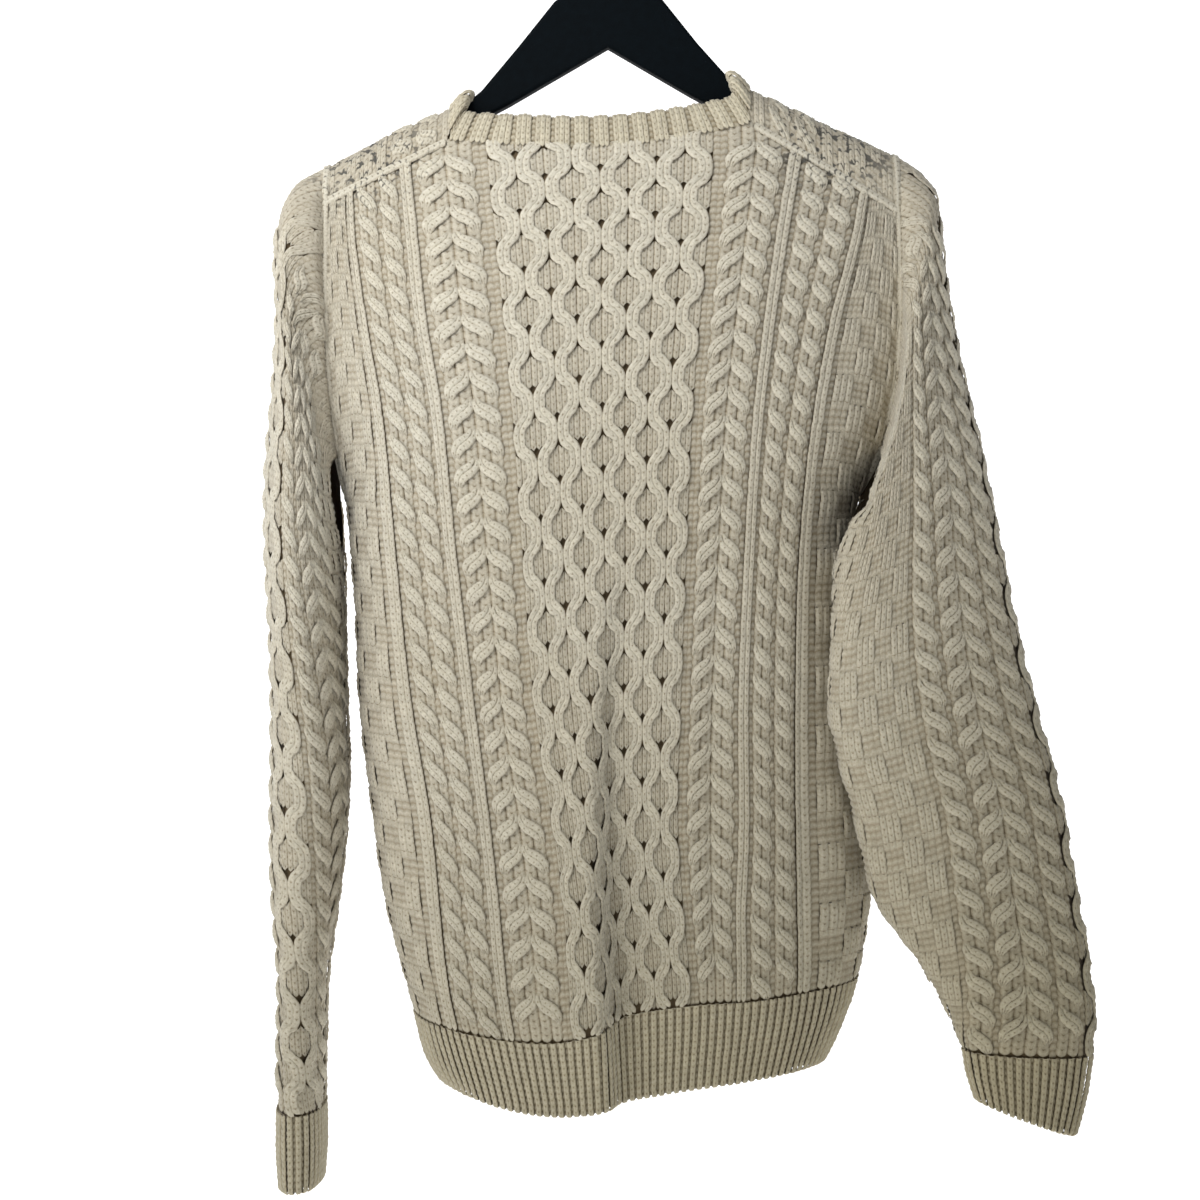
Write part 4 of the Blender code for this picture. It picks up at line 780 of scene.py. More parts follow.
class Knitting:
    """Gathers the strips of one piece of knitting into a single mesh."""

    def __init__(self, cloth, pitch):
        self.cloth = cloth
        self.pitch = pitch
        self.points = []
        self.faces = []
        self.marks = {"shade": [], "tone": [], "leg": [], "course": []}
        self.count = 0

    def wale(self, wale, low, high):
        rows = np.arange(2 * math.ceil(low), 2 * math.floor(high) + 1) / 2.0
        if len(rows) < 3:
            return
        cloth = self.cloth
        order = (rows * 2).astype(int)
        number = order // 2
        is_knit = np.ones(len(rows), bool) if wale.knit is None else wale.knit(rows)
        is_knit = is_knit[:, None]
        slope = (wale.path(rows + 0.05) - wale.path(rows - 0.05)) / 0.1 * self.pitch / cloth.row
        turn = 1.0 / np.sqrt(1.0 + slope ** 2)
        aside = wale.offset + ACROSS[None, :] * wale.width
        lean = np.where(is_knit, KNIT_LEAN, PURL_LEAN) * np.abs(2 * ACROSS)[None, :]
        tilt = 0.9 * aside * (slope * turn)[:, None] * self.pitch / cloth.row
        leaned = rows[:, None] + lean - tilt
        centre = wale.path(rows[:, None] + lean)
        chance = np.random.default_rng(int(abs(wale.path(np.array([3.3]))[0] + wale.offset) * 1000))
        jitter = chance.normal(0.0, 1.0, (number.max() + 2, 3))
        stitch = centre + aside * (0.25 + 0.75 * turn)[:, None] + 0.03 * jitter[number, 0][:, None]
        leaned = np.minimum(leaned, cloth.top(stitch))
        middle = stitch[:, 2]
        keep = rows <= cloth.top(middle) + 0.4
        if wale.shown is not None:
            keep &= wale.shown(rows)
        if cloth.reach is not None:
            reach = cloth.reach(float(middle.mean()), rows)
            keep &= np.abs(middle) <= reach + 0.4
            limit = reach[:, None] + 0.2
            stitch = np.clip(stitch, -limit, limit)
        half = order % 2 == 1
        swell = np.where(half[:, None], 1.0, np.where(is_knit, 0.62, 0.1))
        shape = np.where(is_knit, KNIT_ACROSS[None, :] * KNIT_HEIGHT, PURL_ACROSS[None, :] * PURL_HEIGHT)
        profile = shape * swell * (1.0 + 0.1 * jitter[number, 1][:, None])
        if cloth.calm is not None:
            profile = profile * (0.5 + 0.5 * cloth.calm(middle, rows))[:, None]
        level = wale.level(rows[:, None] + lean, centre + aside)
        if cloth.calm is not None:
            level = level * cloth.calm(middle, rows)[:, None]
        point, normal = cloth.sample(stitch, leaned)
        runs = np.flatnonzero(keep[:-1] & keep[1:])
        if len(runs) == 0:
            return
        faces = grid_faces(len(rows), len(ACROSS))[runs]
        leg = np.where(is_knit, 2.0 * ACROSS[None, :], 3.0)
        tone = jitter[number, 2][:, None]
        self.gather(point, normal, level, profile, faces, tone, leg, order[:, None] / 2.0)

    def crossings(self, cable, low, high):
        """Stitches carried over at every crossing: they rise, slant across and dive again."""
        cloth = self.cloth
        end = high if cable.last is None else cable.last
        first = math.ceil((low - cable.phase) / CROSSING)
        rows = cable.phase + CROSSING * np.arange(first, math.floor((end - cable.phase) / CROSSING) + 1)
        rows = rows[(rows > low + 1.0) & (rows < cloth.top(cable.middle) - 1.2)]
        if cloth.reach is not None:
            rows = rows[abs(cable.middle) + 2.0 < cloth.reach(cable.middle, rows)]
        if len(rows) == 0:
            return
        share = np.linspace(-1.0, 1.0, LEAF_STEPS)
        across = cable.slant * LEAF_REACH * np.sin(0.5 * math.pi * share)
        down = -(LEAF_FALL[0] * share + LEAF_FALL[1] * share ** 3)
        chance = np.random.default_rng(int(abs(cable.middle * 100)) + 11)
        for member in (-0.5, 0.5):
            jitter = chance.normal(0.0, 1.0, (len(rows), LEAF_STEPS, 3))
            ahead = np.stack([np.gradient(across) * self.pitch, np.gradient(down) * cloth.row], axis=-1)
            ahead = ahead / np.linalg.norm(ahead, axis=1, keepdims=True)
            aside = np.stack([-ahead[:, 1], ahead[:, 0]], axis=-1)
            place = member + ACROSS[None, :] * 1.05
            half = LEAF_WIDTH * (1.0 - 0.55 * np.abs(share) ** 3)[:, None]
            lean = KNIT_LEAN * 2.1 * np.abs(2 * ACROSS)[None, :]
            shift = aside[:, None, :] * (place * half)[..., None] + ahead[:, None, :] * lean[..., None]
            stitch = cable.middle + across[:, None] + shift[..., 0] / self.pitch
            row = rows[:, None, None] + (down[:, None] + shift[..., 1] / cloth.row)[None]
            stitch = stitch[None] + 0.05 * jitter[:, :, 0][..., None]
            row = np.minimum(row, cloth.top(stitch) + 0.2)
            swell = np.where(np.arange(LEAF_STEPS) % 2 == 1, 1.0, 0.66)[None, :, None]
            profile = KNIT_ACROSS * KNIT_HEIGHT * swell * (1.0 + 0.1 * jitter[:, :, 1])[..., None]
            arch = np.sqrt(np.clip(1.0 - share ** 2, 0.0, 1.0))[:, None]
            level = LEAF_LEVEL[0] + LEAF_LEVEL[1] * arch + 0.9 * arch * (1.0 - place ** 2)
            level = np.broadcast_to(level[None], row.shape)
            if cloth.calm is not None:
                level = level * cloth.calm(cable.middle, rows)[:, None, None]
            point, normal = cloth.sample(np.broadcast_to(stitch, row.shape), row)
            leaf = np.arange(len(rows))[:, None, None, None] * LEAF_STEPS * len(ACROSS)
            faces = leaf + grid_faces(LEAF_STEPS, len(ACROSS))[..., [0, 3, 2, 1]]
            course = np.arange(LEAF_STEPS)[None, :, None] / 2.0
            self.gather(point, normal, level, profile, faces, jitter[:, :, 2:], 2.0 * ACROSS, course)

    def gather(self, point, normal, level, profile, faces, tone, leg, course):
        """Lifts a strip to its level, and keeps it with what the material reads at each point."""
        self.points.append((point + normal * (level + profile)[..., None]).reshape(-1, 3))
        self.faces.append(self.count + faces.reshape(-1, 4))
        raised = np.clip(profile / KNIT_HEIGHT, 0.0, 1.0)
        # shade is painted shade: low at a strip's edges and where it lies sunk, high on the tops of its
        # legs.
        shade = 0.5 * raised + 0.5 * np.clip((level + 1.4) / 3.4, 0.0, 1.0)
        for label, values in (("shade", shade), ("tone", tone), ("leg", leg), ("course", course)):
            self.marks[label].append(np.broadcast_to(values, level.shape).ravel())
        self.count += level.size

    def build(self, name, material):
        points = np.concatenate(self.points)
        faces = np.concatenate(self.faces)
        used = np.unique(faces)
        renumber = np.zeros(len(points), dtype=np.int64)
        renumber[used] = np.arange(len(used))
        marks = {label: np.concatenate(values)[used] for label, values in self.marks.items()}
        return add_mesh(name, points[used], renumber[faces], material, marks)


def add_mesh(name, points, faces, material, marks=None):
    faces = np.asarray(faces)
    corners = faces.shape[1]
    mesh = bpy.data.meshes.new(name)
    mesh.vertices.add(len(points))
    mesh.vertices.foreach_set("co", (np.asarray(points) * MM).ravel())
    mesh.loops.add(faces.size)
    mesh.loops.foreach_set("vertex_index", faces.ravel())
    mesh.polygons.add(len(faces))
    mesh.polygons.foreach_set("loop_start", np.arange(0, faces.size, corners))
    mesh.update(calc_edges=True)
    mesh.validate()
    mesh.shade_smooth()
    for label, values in (marks or {}).items():
        layer = mesh.attributes.new(label, "FLOAT", "POINT")
        layer.data.foreach_set("value", np.asarray(values, dtype=np.float32))
    obj = bpy.data.objects.new(name, mesh)
    bpy.context.scene.collection.objects.link(obj)
    mesh.materials.append(material)
    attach(obj, "root")
    return obj


# Parts of a chart; a path gives the stitch at a row, a level the height over the cloth
def steady(value):
    return lambda row: value + 0.0 * row


def flat(value):
    return lambda row, stitch: value + 0.0 * stitch


def never(row):
    return row < -99.0


def plain_wale(stitch, level=PLAIN_LEVEL):
    return Wale(steady(stitch), flat(level))


def purl_wale(stitch, level=PURL_LEVEL):
    return Wale(steady(stitch), flat(level), never)


def sharpen(value, amount):
    return np.tanh(amount * value) / math.tanh(amount)


def rope(middle, slant, phase=0.0, last=None):
    """Crossings of a cable over its recessed columns; slant 1 leans to the left on its way up."""
    recess = [Wale(steady(middle + place), flat(RECESS_LEVEL), width=2.0) for place in (-1.0, 1.0)]
    return recess + [Crossings(middle, slant, phase, last)]


def horseshoe(middle, phase=0.0, last=None):
    return rope(middle - 2.0, -1.0, phase, last) + rope(middle + 2.0, 1.0, phase, last)


def honeycomb(first, units, phase=0.0, turned=0):
    """Strands of two stitches that part and meet round cells of four recessed columns."""
    wales = []

    def swing(row):
        return sharpen(np.cos(2 * math.pi * (row - phase) / COMB_PERIOD), 1.8)

    def front_level(row, stitch):
        return COMB_LEVEL + COMB_OVER * (1.0 - swing(row) ** 2)

    for unit in range(units):
        middle = first + 2.0 + 4.0 * unit
        way = 1.0 if (unit + turned) % 2 else -1.0

        def path(row, middle=middle, way=way):
            return middle + way * swing(row)

        for member in (-0.5, 0.5):
            wales.append(Wale(path, front_level, None, member, None, STRAND_WIDTH))
    for line in range(units + 1):
        centre = first + 4.0 * line
        opened = 0.0 if (line + turned) % 2 else 0.5

        def away(row, opened=opened):
            share = (row - phase) / COMB_PERIOD - opened
            return (share - np.round(share)) * COMB_PERIOD

        def shown(row, away=away):
            return np.abs(away(row)) <= COMB_SHOWN

        def level(row, stitch, away=away, centre=centre):
            side = (stitch - centre) / 2.0
            return COMB_INSIDE + 0.3 * side ** 2 - 0.12 * np.clip(np.abs(away(row)) - 1.2, 0.0, None) ** 2

        for place in (-1.5, -0.53, 0.53, 1.5):
            if first <= centre + place <= first + 4.0 * units:
                wales.append(Wale(steady(centre + place), level, None, 0.0, shown))
    return wales


def baskets(first, count, turned=0):
    """Blocks of three stitches by four rows, plain and purl by turns."""
    wales = []
    for index in range(count):
        block = index // 3 + turned

        def is_knit(row, block=block):
            return (np.floor(row / 4.0).astype(int) + block) % 2 == 0

        def level(row, stitch, block=block):
            return 0.1 + 0.7 * np.cos(math.pi * (row / 4.0 - 0.5 + block))

        wales.append(Wale(steady(first + index + 0.5), level, is_knit))
    return wales


def half_chart(side, phase, last=None):
    """Columns of one half of the body from its bead line out to the side seam."""
    wales = []
    for stitch in (16.5, 17.5, 26.5, 29.5, 34.5, 39.5, 42.5):
        wales.append(purl_wale(side * stitch))
    for stitch in (27.5, 28.5, 40.5, 41.5):
        wales.append(plain_wale(side * stitch, RIB_LEVEL))
    wales += horseshoe(side * 22.0, phase, last)
    wales += rope(side * 32.0, 1.0, phase + 1.0, last)
    wales += rope(side * 37.0, 1.0, phase + 3.0, last)
    if side > 0:
        wales += baskets(43.0, 11)
    else:
        wales += baskets(-54.0, 11, 1)
    return wales


def sleeve_chart(last, turned):
    """Columns round a sleeve, an open-and-shut column first; turned moves them to the back."""
    wales = honeycomb(turned - 4.0, 2, 2.0)
    for side in (-1.0, 1.0):
        for stitch in (4.5, 9.5, 18.5, 23.5):
            wales.append(purl_wale(turned + side * stitch))
        wales += rope(turned + side * 7.0, 1.0, 1.0, last)
        wales += horseshoe(turned + side * 14.0, 0.0, last)
        wales += rope(turned + side * 21.0, 1.0, 2.0, last)
    wales += baskets(24.0 + turned, 30)
    wales += baskets(turned - 54.0, 30, 1)
    return wales


def knit_piece(name, cloth, wales, material, low=0.0, parts=1, pitch=4.2):
    """Knits wales on a cloth, shared out over one or more meshes."""
    ordered = sorted(wales, key=lambda wale: float(wale.path(np.array([0.0]))[0]))
    share = math.ceil(len(ordered) / parts)
    high = float(cloth.tops.max()) + 1.0
    made = []
    for part in range(parts):
        knitting = Knitting(cloth, pitch)
        for wale in ordered[part * share:(part + 1) * share]:
            if isinstance(wale, Crossings):
                knitting.crossings(wale, low, high)
            else:
                knitting.wale(wale, low, high)
        suffix = f"_{part + 1}" if parts > 1 else ""
        made.append(knitting.build(name + suffix, material))
    return made


def backing(name, cloth, material, row_step=4, col_step=4, depth=BACKING_DEPTH):
    """Plain cloth under the stitches, which closes it between them; its dark colour is painted shade in
    those gaps.
    """
    stitches = cloth.stitches[::col_step]
    if stitches[-1] < cloth.stitches[-1] - 0.01:
        stitches = np.append(stitches, cloth.stitches[-1])
    count = max(int(cloth.tops.max() * 2 / row_step), 4)
    share = np.linspace(0.0, 1.0, count)[:, None]
    rows = share * cloth.top(stitches)[None, :]
    stitch = np.broadcast_to(stitches[None, :], rows.shape)
    if cloth.reach is not None:
        limit = np.stack([cloth.reach(line, rows[:, col]) for col, line in enumerate(stitches)], axis=-1)
        stitch = np.clip(stitch, -limit, limit)
    point, normal = cloth.sample(stitch, rows)
    point = point - normal * depth
    faces = grid_faces(*rows.shape)
    # A low shade value, so the material paints this cloth in its darkest colours, as shade.
    shade = np.full(rows.size, 0.12)
    marks = {"shade": shade, "tone": 0 * shade, "leg": 0 * shade + 3.0, "course": 0 * shade}
    return add_mesh(name, point.reshape(-1, 3), faces.reshape(-1, 4), material, marks)


def seam_strip(name, points, normals, width, height, material, pitch=4.0):
    """One column of stitches laid along a seam."""
    length = running_length(points)
    count = int(length[-1] / pitch * 2)
    along = np.linspace(0.0, length[-1], count)
    line = along_line(along, length, points)
    normal = unit(along_line(along, length, normals))
    ahead = unit(np.gradient(line, axis=0))
    aside = np.cross(ahead, normal)
    rows = np.arange(count) / 2.0
    swell = np.where(np.arange(count) % 2 == 1, 1.0, 0.7)
    grid = []
    for place, rise in zip(ACROSS, KNIT_ACROSS):
        lift = (height * rise * swell - 0.8 * (2 * abs(place)) ** 3)[:, None]
        lean = ahead * 0.4 * pitch * abs(2 * place)
        grid.append(line + aside * place * width + normal * lift + lean)
    grid = np.stack(grid, axis=1)
    columns = len(ACROSS)
    faces = grid_faces(count, columns)
    # shade paints shade here: darker at the strip's low edges, paler on its raised legs.
    shade = np.broadcast_to(0.35 + 0.5 * KNIT_ACROSS[None, :], (count, columns))
    marks = {
        "shade": shade.ravel(),
        "tone": np.zeros(count * columns),
        "leg": np.broadcast_to(2.0 * ACROSS[None, :], (count, columns)).ravel(),
        "course": np.broadcast_to(rows[:, None], (count, columns)).ravel(),
    }
    return add_mesh(name, grid.reshape(-1, 3), faces.reshape(-1, 4), material, marks)


# Cloth faces of the body
def back_cloth():
    stitch = np.arange(-EDGE_STITCH, EDGE_STITCH + 0.25, 0.5)
    top = column_top_z(-1, stitch) + 1.0
    foot = column_foot_z(-1, stitch, BACK_HEM, 1)
    share = np.linspace(0.0, 1.0, 240)[:, None]
    z = foot + (top - foot) * share
    return Cloth(stitch, body_point(-1, stitch[None, :] + 0 * z, z), ROW)


def front_limit(x, left):
    """Height of the front neckline or, past the neck point, of the shoulder's beginning."""
    sign = -1.0 if left else 1.0
    x_low = float(front_middle(FRONT_NECK_Z)) + sign * BAND_HALF
    x_high = NECK_LEFT_X if left else NECK_RIGHT_X
    z_high = float(shoulder_seam(x_high))
    share = np.clip((x - x_low) / (x_high - x_low), 0.0, 1.0)
    neck = FRONT_NECK_Z + (z_high - FRONT_NECK_Z) * (1.0 - np.sqrt(1.0 - share ** 2))
    return np.where(share >= 1.0, shoulder_seam(x), neck)


def calmer(cloth, rows):
    """Less relief in the last rows, which are stretched over the hanger."""
    return lambda stitch, row: 1.0 - 0.65 * np.clip((row - cloth.top(stitch) + rows) / 4.0, 0.0, 1.0)


def front_cloth(left):
    """One front, over the shoulder to the seam behind it."""
    sign = -1.0 if left else 1.0
    step = (EDGE_STITCH - BAND_STITCH) / (FRONT_LINES - 1)
    stitch = BAND_STITCH + step * np.arange(FRONT_LINES)
    foot = column_foot_z(1, sign * stitch, FRONT_HEM, 1)
    z = np.full(len(stitch), -260.0)
    for _ in range(40):
        x = body_point(1, sign * stitch, z)[:, 0]
        z = 0.6 * z + 0.4 * front_limit(x, left)
    x_top = body_point(1, sign * stitch, z)[:, 0]
    share = np.linspace(0.0, 1.0, 200)[:, None]
    heights = foot + (z - foot) * share
    chest = body_point(1, sign * stitch[None, :] + 0 * heights, heights)
    over = np.abs(z - shoulder_seam(x_top)) < 1.0
    wraps = []
    for turn in np.linspace(0.0, math.pi, 40)[1:]:
        wrapped = wrap_point(x_top, turn)
        wraps.append(np.where(over[:, None], wrapped, chest[-1]))
    dense = np.concatenate([chest, np.array(wraps)], axis=0)
    if left:
        cloth = Cloth(stitch, dense, ROW)
    else:
        cloth = Cloth(-stitch[::-1], dense[:, ::-1], ROW)
    cloth.calm = calmer(cloth, 14.0)
    return cloth


def rolled_edge(outside, normal_side, thick, depth):
    """Rows that come up inside and turn round the lower edge of a piece of cloth."""
    first = outside[0]
    rise = unit(outside[3] - outside[0])
    inward = -normal_side
    rows = [
        first + inward * thick + rise * depth,
        first + inward * thick + rise * depth * 0.4,
        first + inward * thick * 0.8 - rise * 0.4,
        first + inward * thick * 0.4 - rise * 1.1,
    ]
    return np.concatenate([np.array(rows), outside], axis=0)


def face_normals(points):
    normal = np.cross(np.gradient(points, axis=1), np.gradient(points, axis=0))
    return normal / np.maximum(np.linalg.norm(normal, axis=2, keepdims=True), 1e-9)


def even_stitches(row_points, pitch):
    """Shares of a line's length that place columns a pitch apart, and their number."""
    length = running_length(row_points)
    return length, max(int(round(length[-1] / pitch)), 4)


def rib_cloth(grid, pitch, row):
    """Cloth whose stitches are evenly pitched columns along a strip of points."""
    middle = grid[grid.shape[0] // 2]
    length, count = even_stitches(middle, pitch)
    targets = np.linspace(0.0, length[-1], 2 * count + 1)
    spread = np.zeros((grid.shape[0], len(targets), 3))
    for axis in range(3):
        for line in range(grid.shape[0]):
            spread[line, :, axis] = np.interp(targets, length, grid[line, :, axis])
    return Cloth(np.arange(2 * count + 1) * 0.5, spread, row), count


def rib_wales(count, period=2, ribs=(0,)):
    """Ribbing: raised plain columns with purl columns between them."""
    wales = []
    crown = 0.5 * (ribs[0] + ribs[-1])
    width = RIB_WIDTH if len(ribs) == 1 else STRAND_WIDTH
    for index in range(count):
        if index % period in ribs:
            level = RIB_LEVEL - 0.5 * abs(index % period - crown)
            wales.append(Wale(steady(index + 0.5), flat(level), None, 0.0, None, width))
        else:
            wales.append(purl_wale(index + 0.5))
    return wales


def hem_cloth(side, stitch, table):
    top = column_foot_z(side, stitch, table, 1)
    foot = column_foot_z(side, stitch, table, 2)
    share = np.linspace(0.0, 1.0, 24)[:, None]
    z = foot + (top - foot) * share
    grid = body_point(side, stitch[None, :] + 0 * z, z)
    if side > 0:
        grid = grid[:, ::-1]
    normal = face_normals(grid)[0]
    grid = rolled_edge(grid, normal, 3.2, 12.0)
    return rib_cloth(grid, RIB_PITCH, RIB_ROW)


def band_cloth(lift, half_stitches):
    z_top = FRONT_NECK_Z - 1.0
    z_foot = float(smooth_table(FRONT_HEM, 6.0, 2))
    z = np.linspace(z_foot, z_top, 90)[:, None]
    stitch = np.linspace(half_stitches, -half_stitches, 9)[None, :]
    stitch, z = np.broadcast_arrays(stitch, z)
    grid = body_point(1, stitch, z) + body_normal(1, stitch, z) * lift
    return rib_cloth(grid, 3.9, RIB_ROW)


NECK_PROFILE = (
    (-1.5, 0.2),
    (1.5, 0.9),
    (8.0, 1.3),
    (15.0, 1.1),
    (19.5, 0.3),
    (21.6, -1.2),
    (21.2, -3.2),
    (17.0, -4.2),
    (6.0, -4.4),
)


def neckband_cloth():
    """Doubled band: up outside, over the top and down inside."""
    path, outward, on_top = neck_path()
    path = path[::-1]
    outward = outward[::-1]
    on_top = on_top[::-1]
    length = running_length(path)
    along = np.linspace(0.0, length[-1], 260)
    low = along_line(along, length, path)
    outward = unit(smooth_along(along_line(along, length, outward), 6))
    top = np.interp(along, length, on_top)[:, None]
    tangent = unit(np.gradient(low, axis=0))
    rising = unit(-np.cross(tangent, outward))
    rising = rising + top * np.array((0.0, 0.0, NECKBAND_SIDE_LIFT))
    rising = rising - 0.25 * outward * (1.0 - top)
    rising = unit(smooth_along(unit(rising), 18))
    facing = unit(np.cross(tangent, rising))
    scale = 1.0 - (1.0 - NECKBAND_SIDE_WIDTH / NECKBAND_WIDTH) * top
    rows = []
    for height, depth in NECK_PROFILE:
        rows.append(low + rising * height * scale + facing * depth)
    fine = []
    for share in np.linspace(0.0, len(rows) - 1.001, 40):
        index = int(share)
        part = share - index
        fine.append(rows[index] * (1 - part) + rows[index + 1] * part)
    return rib_cloth(np.array(fine), 3.15, 4.2)


# Sleeves
def dense_rings(left, table, with_armhole, count):
    """Many rings along a sleeve from its cuff to its armhole."""
    rings = [sleeve_ring(row) for row in table]
    if with_armhole:
        rings = [armhole_ring(left)] + rings
    rings = np.array(rings)
    steps = np.linalg.norm(np.diff(rings[:, 0], axis=0), axis=1)
    steps = 0.6 * steps + 0.4 * np.linalg.norm(np.diff(rings.mean(axis=1), axis=0), axis=1)
    length = np.concatenate(([0.0], np.cumsum(steps)))
    targets = np.linspace(0.0, length[-1], count)
    slopes = np.gradient(rings, length, axis=0)
    low = np.clip(np.searchsorted(length, targets) - 1, 0, len(length) - 2)
    span = (length[low + 1] - length[low])[:, None, None]
    part = (targets - length[low])[:, None, None] / span
    made = (1 + 2 * part) * (1 - part) ** 2 * rings[low]
    made = made + part * (1 - part) ** 2 * span * slopes[low]
    made = made + part ** 2 * (3 - 2 * part) * rings[low + 1]
    made = made + part ** 2 * (part - 1) * span * slopes[low + 1]
    made = made[::-1].copy()
    return keep_outside(made, left) if with_armhole else made


def unroll(rings, left, pitch, most):
    """Rings as a sheet of stitches counted from the outer line, and how far each row reaches."""
    stitches = np.arange(-most, most + 0.25, 0.5)
    half = rings.shape[1] // 2
    dense = np.zeros((len(rings), len(stitches), 3))
    reach = np.zeros(len(rings))
    for index, ring in enumerate(rings):
        behind = ring[:half + 1]
        ahead = np.concatenate([ring[:1], ring[:half - 1:-1]])
        sides = (ahead, behind) if left else (behind, ahead)
        lengths = [running_length(points) for points in sides]
        reach[index] = 0.5 * (lengths[0][-1] + lengths[1][-1]) / pitch
        for col, stitch in enumerate(stitches):
            side = 0 if stitch < 0 else 1
            share = abs(stitch) / reach[index] * lengths[side][-1]
            for axis in range(3):
                dense[index, col, axis] = np.interp(share, lengths[side], sides[side][:, axis])
    return stitches, dense, reach


def sleeve_cloth(left, table):
    rings = dense_rings(left, table, True, 200)
    stitches, dense, reach = unroll(rings, left, SLEEVE_PITCH, 50.0)
    cloth = Cloth(stitches, dense, ROW)
    steps = np.linalg.norm(np.diff(dense, axis=0), axis=2)
    rows = np.vstack([np.zeros(len(stitches)), np.cumsum(steps, axis=0)]) / ROW

    def reach_at(stitch, row):
        col = int(np.clip(round((stitch - stitches[0]) * 2), 0, len(stitches) - 1))
        return np.interp(row, rows[:, col], reach)

    cloth.reach = reach_at
    fading = calmer(cloth, 9.0)
    cloth.calm = lambda stitch, row: SLEEVE_RELIEF * fading(stitch, row)
    return cloth


def cuff_cloth(left, table):
    rings = dense_rings(left, table, False, 30)
    grid = np.concatenate([rings, rings[:, :1]], axis=1)
    if not left:
        grid = grid[:, ::-1]
    outward = face_normals(grid)
    if np.sum(outward[5, :, :2] * (grid[5, :, :2] - grid[5, :, :2].mean(axis=0))) < 0:
        grid = grid[:, ::-1]
    normal = face_normals(grid)[0]
    grid = rolled_edge(grid, normal, 3.0, 12.0)
    return rib_cloth(grid, RIB_PITCH, RIB_ROW)


# Materials
def node(tree, kind, **values):
    made = tree.nodes.new(kind)
    for key, value in values.items():
        setattr(made, key, value)
    return made


def base_material(name, colour, roughness, metallic=0.0):
    material = bpy.data.materials.new(name)
    material.use_nodes = True
    shader = material.node_tree.nodes["Principled BSDF"]
    shader.inputs["Base Color"].default_value = (*colour, 1.0)
    shader.inputs["Roughness"].default_value = roughness
    shader.inputs["Metallic"].default_value = metallic
    return material, material.node_tree, shader


def noise(tree, coordinates, scale, detail=2.0, roughness=0.5):
    made = node(tree, "ShaderNodeTexNoise")
    made.inputs["Scale"].default_value = scale
    made.inputs["Detail"].default_value = detail
    made.inputs["Roughness"].default_value = roughness
    tree.links.new(coordinates, made.inputs["Vector"])
    return made.outputs["Fac"]


def ramp(tree, value, stops):
    made = node(tree, "ShaderNodeValToRGB")
    elements = made.color_ramp.elements
    for index, (place, colour) in enumerate(stops):
        element = elements[index] if index < 2 else elements.new(place)
        element.position = place
        element.color = (*colour, 1.0)
    tree.links.new(value, made.inputs["Fac"])
    return made.outputs["Color"]


def mix(tree, kind, factor, first, second):
    made = node(tree, "ShaderNodeMix", data_type="RGBA", blend_type=kind)
    for socket, value in ((made.inputs[0], factor), (made.inputs[6], first), (made.inputs[7], second)):
        if isinstance(value, bpy.types.NodeSocket):
            tree.links.new(value, socket)
        elif isinstance(value, tuple):
            socket.default_value = (*value, 1.0)
        else:
            socket.default_value = value
    return made.outputs[2]


def map_range(tree, value, low, high, first, second, smooth=False):
    made = node(tree, "ShaderNodeMapRange")
    if smooth:
        made.interpolation_type = "SMOOTHSTEP"
    made.inputs["From Min"].default_value = low
    made.inputs["From Max"].default_value = high
    made.inputs["To Min"].default_value = first
    made.inputs["To Max"].default_value = second
    tree.links.new(value, made.inputs["Value"])
    return made.outputs["Result"]


def maths(tree, operation, first, second=0.0):
    made = node(tree, "ShaderNodeMath", operation=operation)
    for socket, value in zip(made.inputs, (first, second)):
        if isinstance(value, bpy.types.NodeSocket):
            tree.links.new(value, socket)
        else:
            socket.default_value = value
    return made.outputs["Value"]


def near(tree, place, centre, inner, outer):
    """1 inside a distance of a point, 0 past a larger one."""
    made = node(tree, "ShaderNodeVectorMath", operation="DISTANCE")
    tree.links.new(place, made.inputs[0])
    made.inputs[1].default_value = tuple(MM * value for value in centre)
    return map_range(tree, made.outputs["Value"], inner * MM, outer * MM, 1.0, 0.0, True)


# Where the dark hanger or label shows between the stitches: centre, inner and outer reach
SHOW_THROUGH = (
    ((-6.0, -62.0, -186.0), 16.0, 38.0),
    ((-160.0, -15.0, -176.0), 18.0, 62.0),
    ((150.0, -15.0, -166.0), 22.0, 70.0),
)


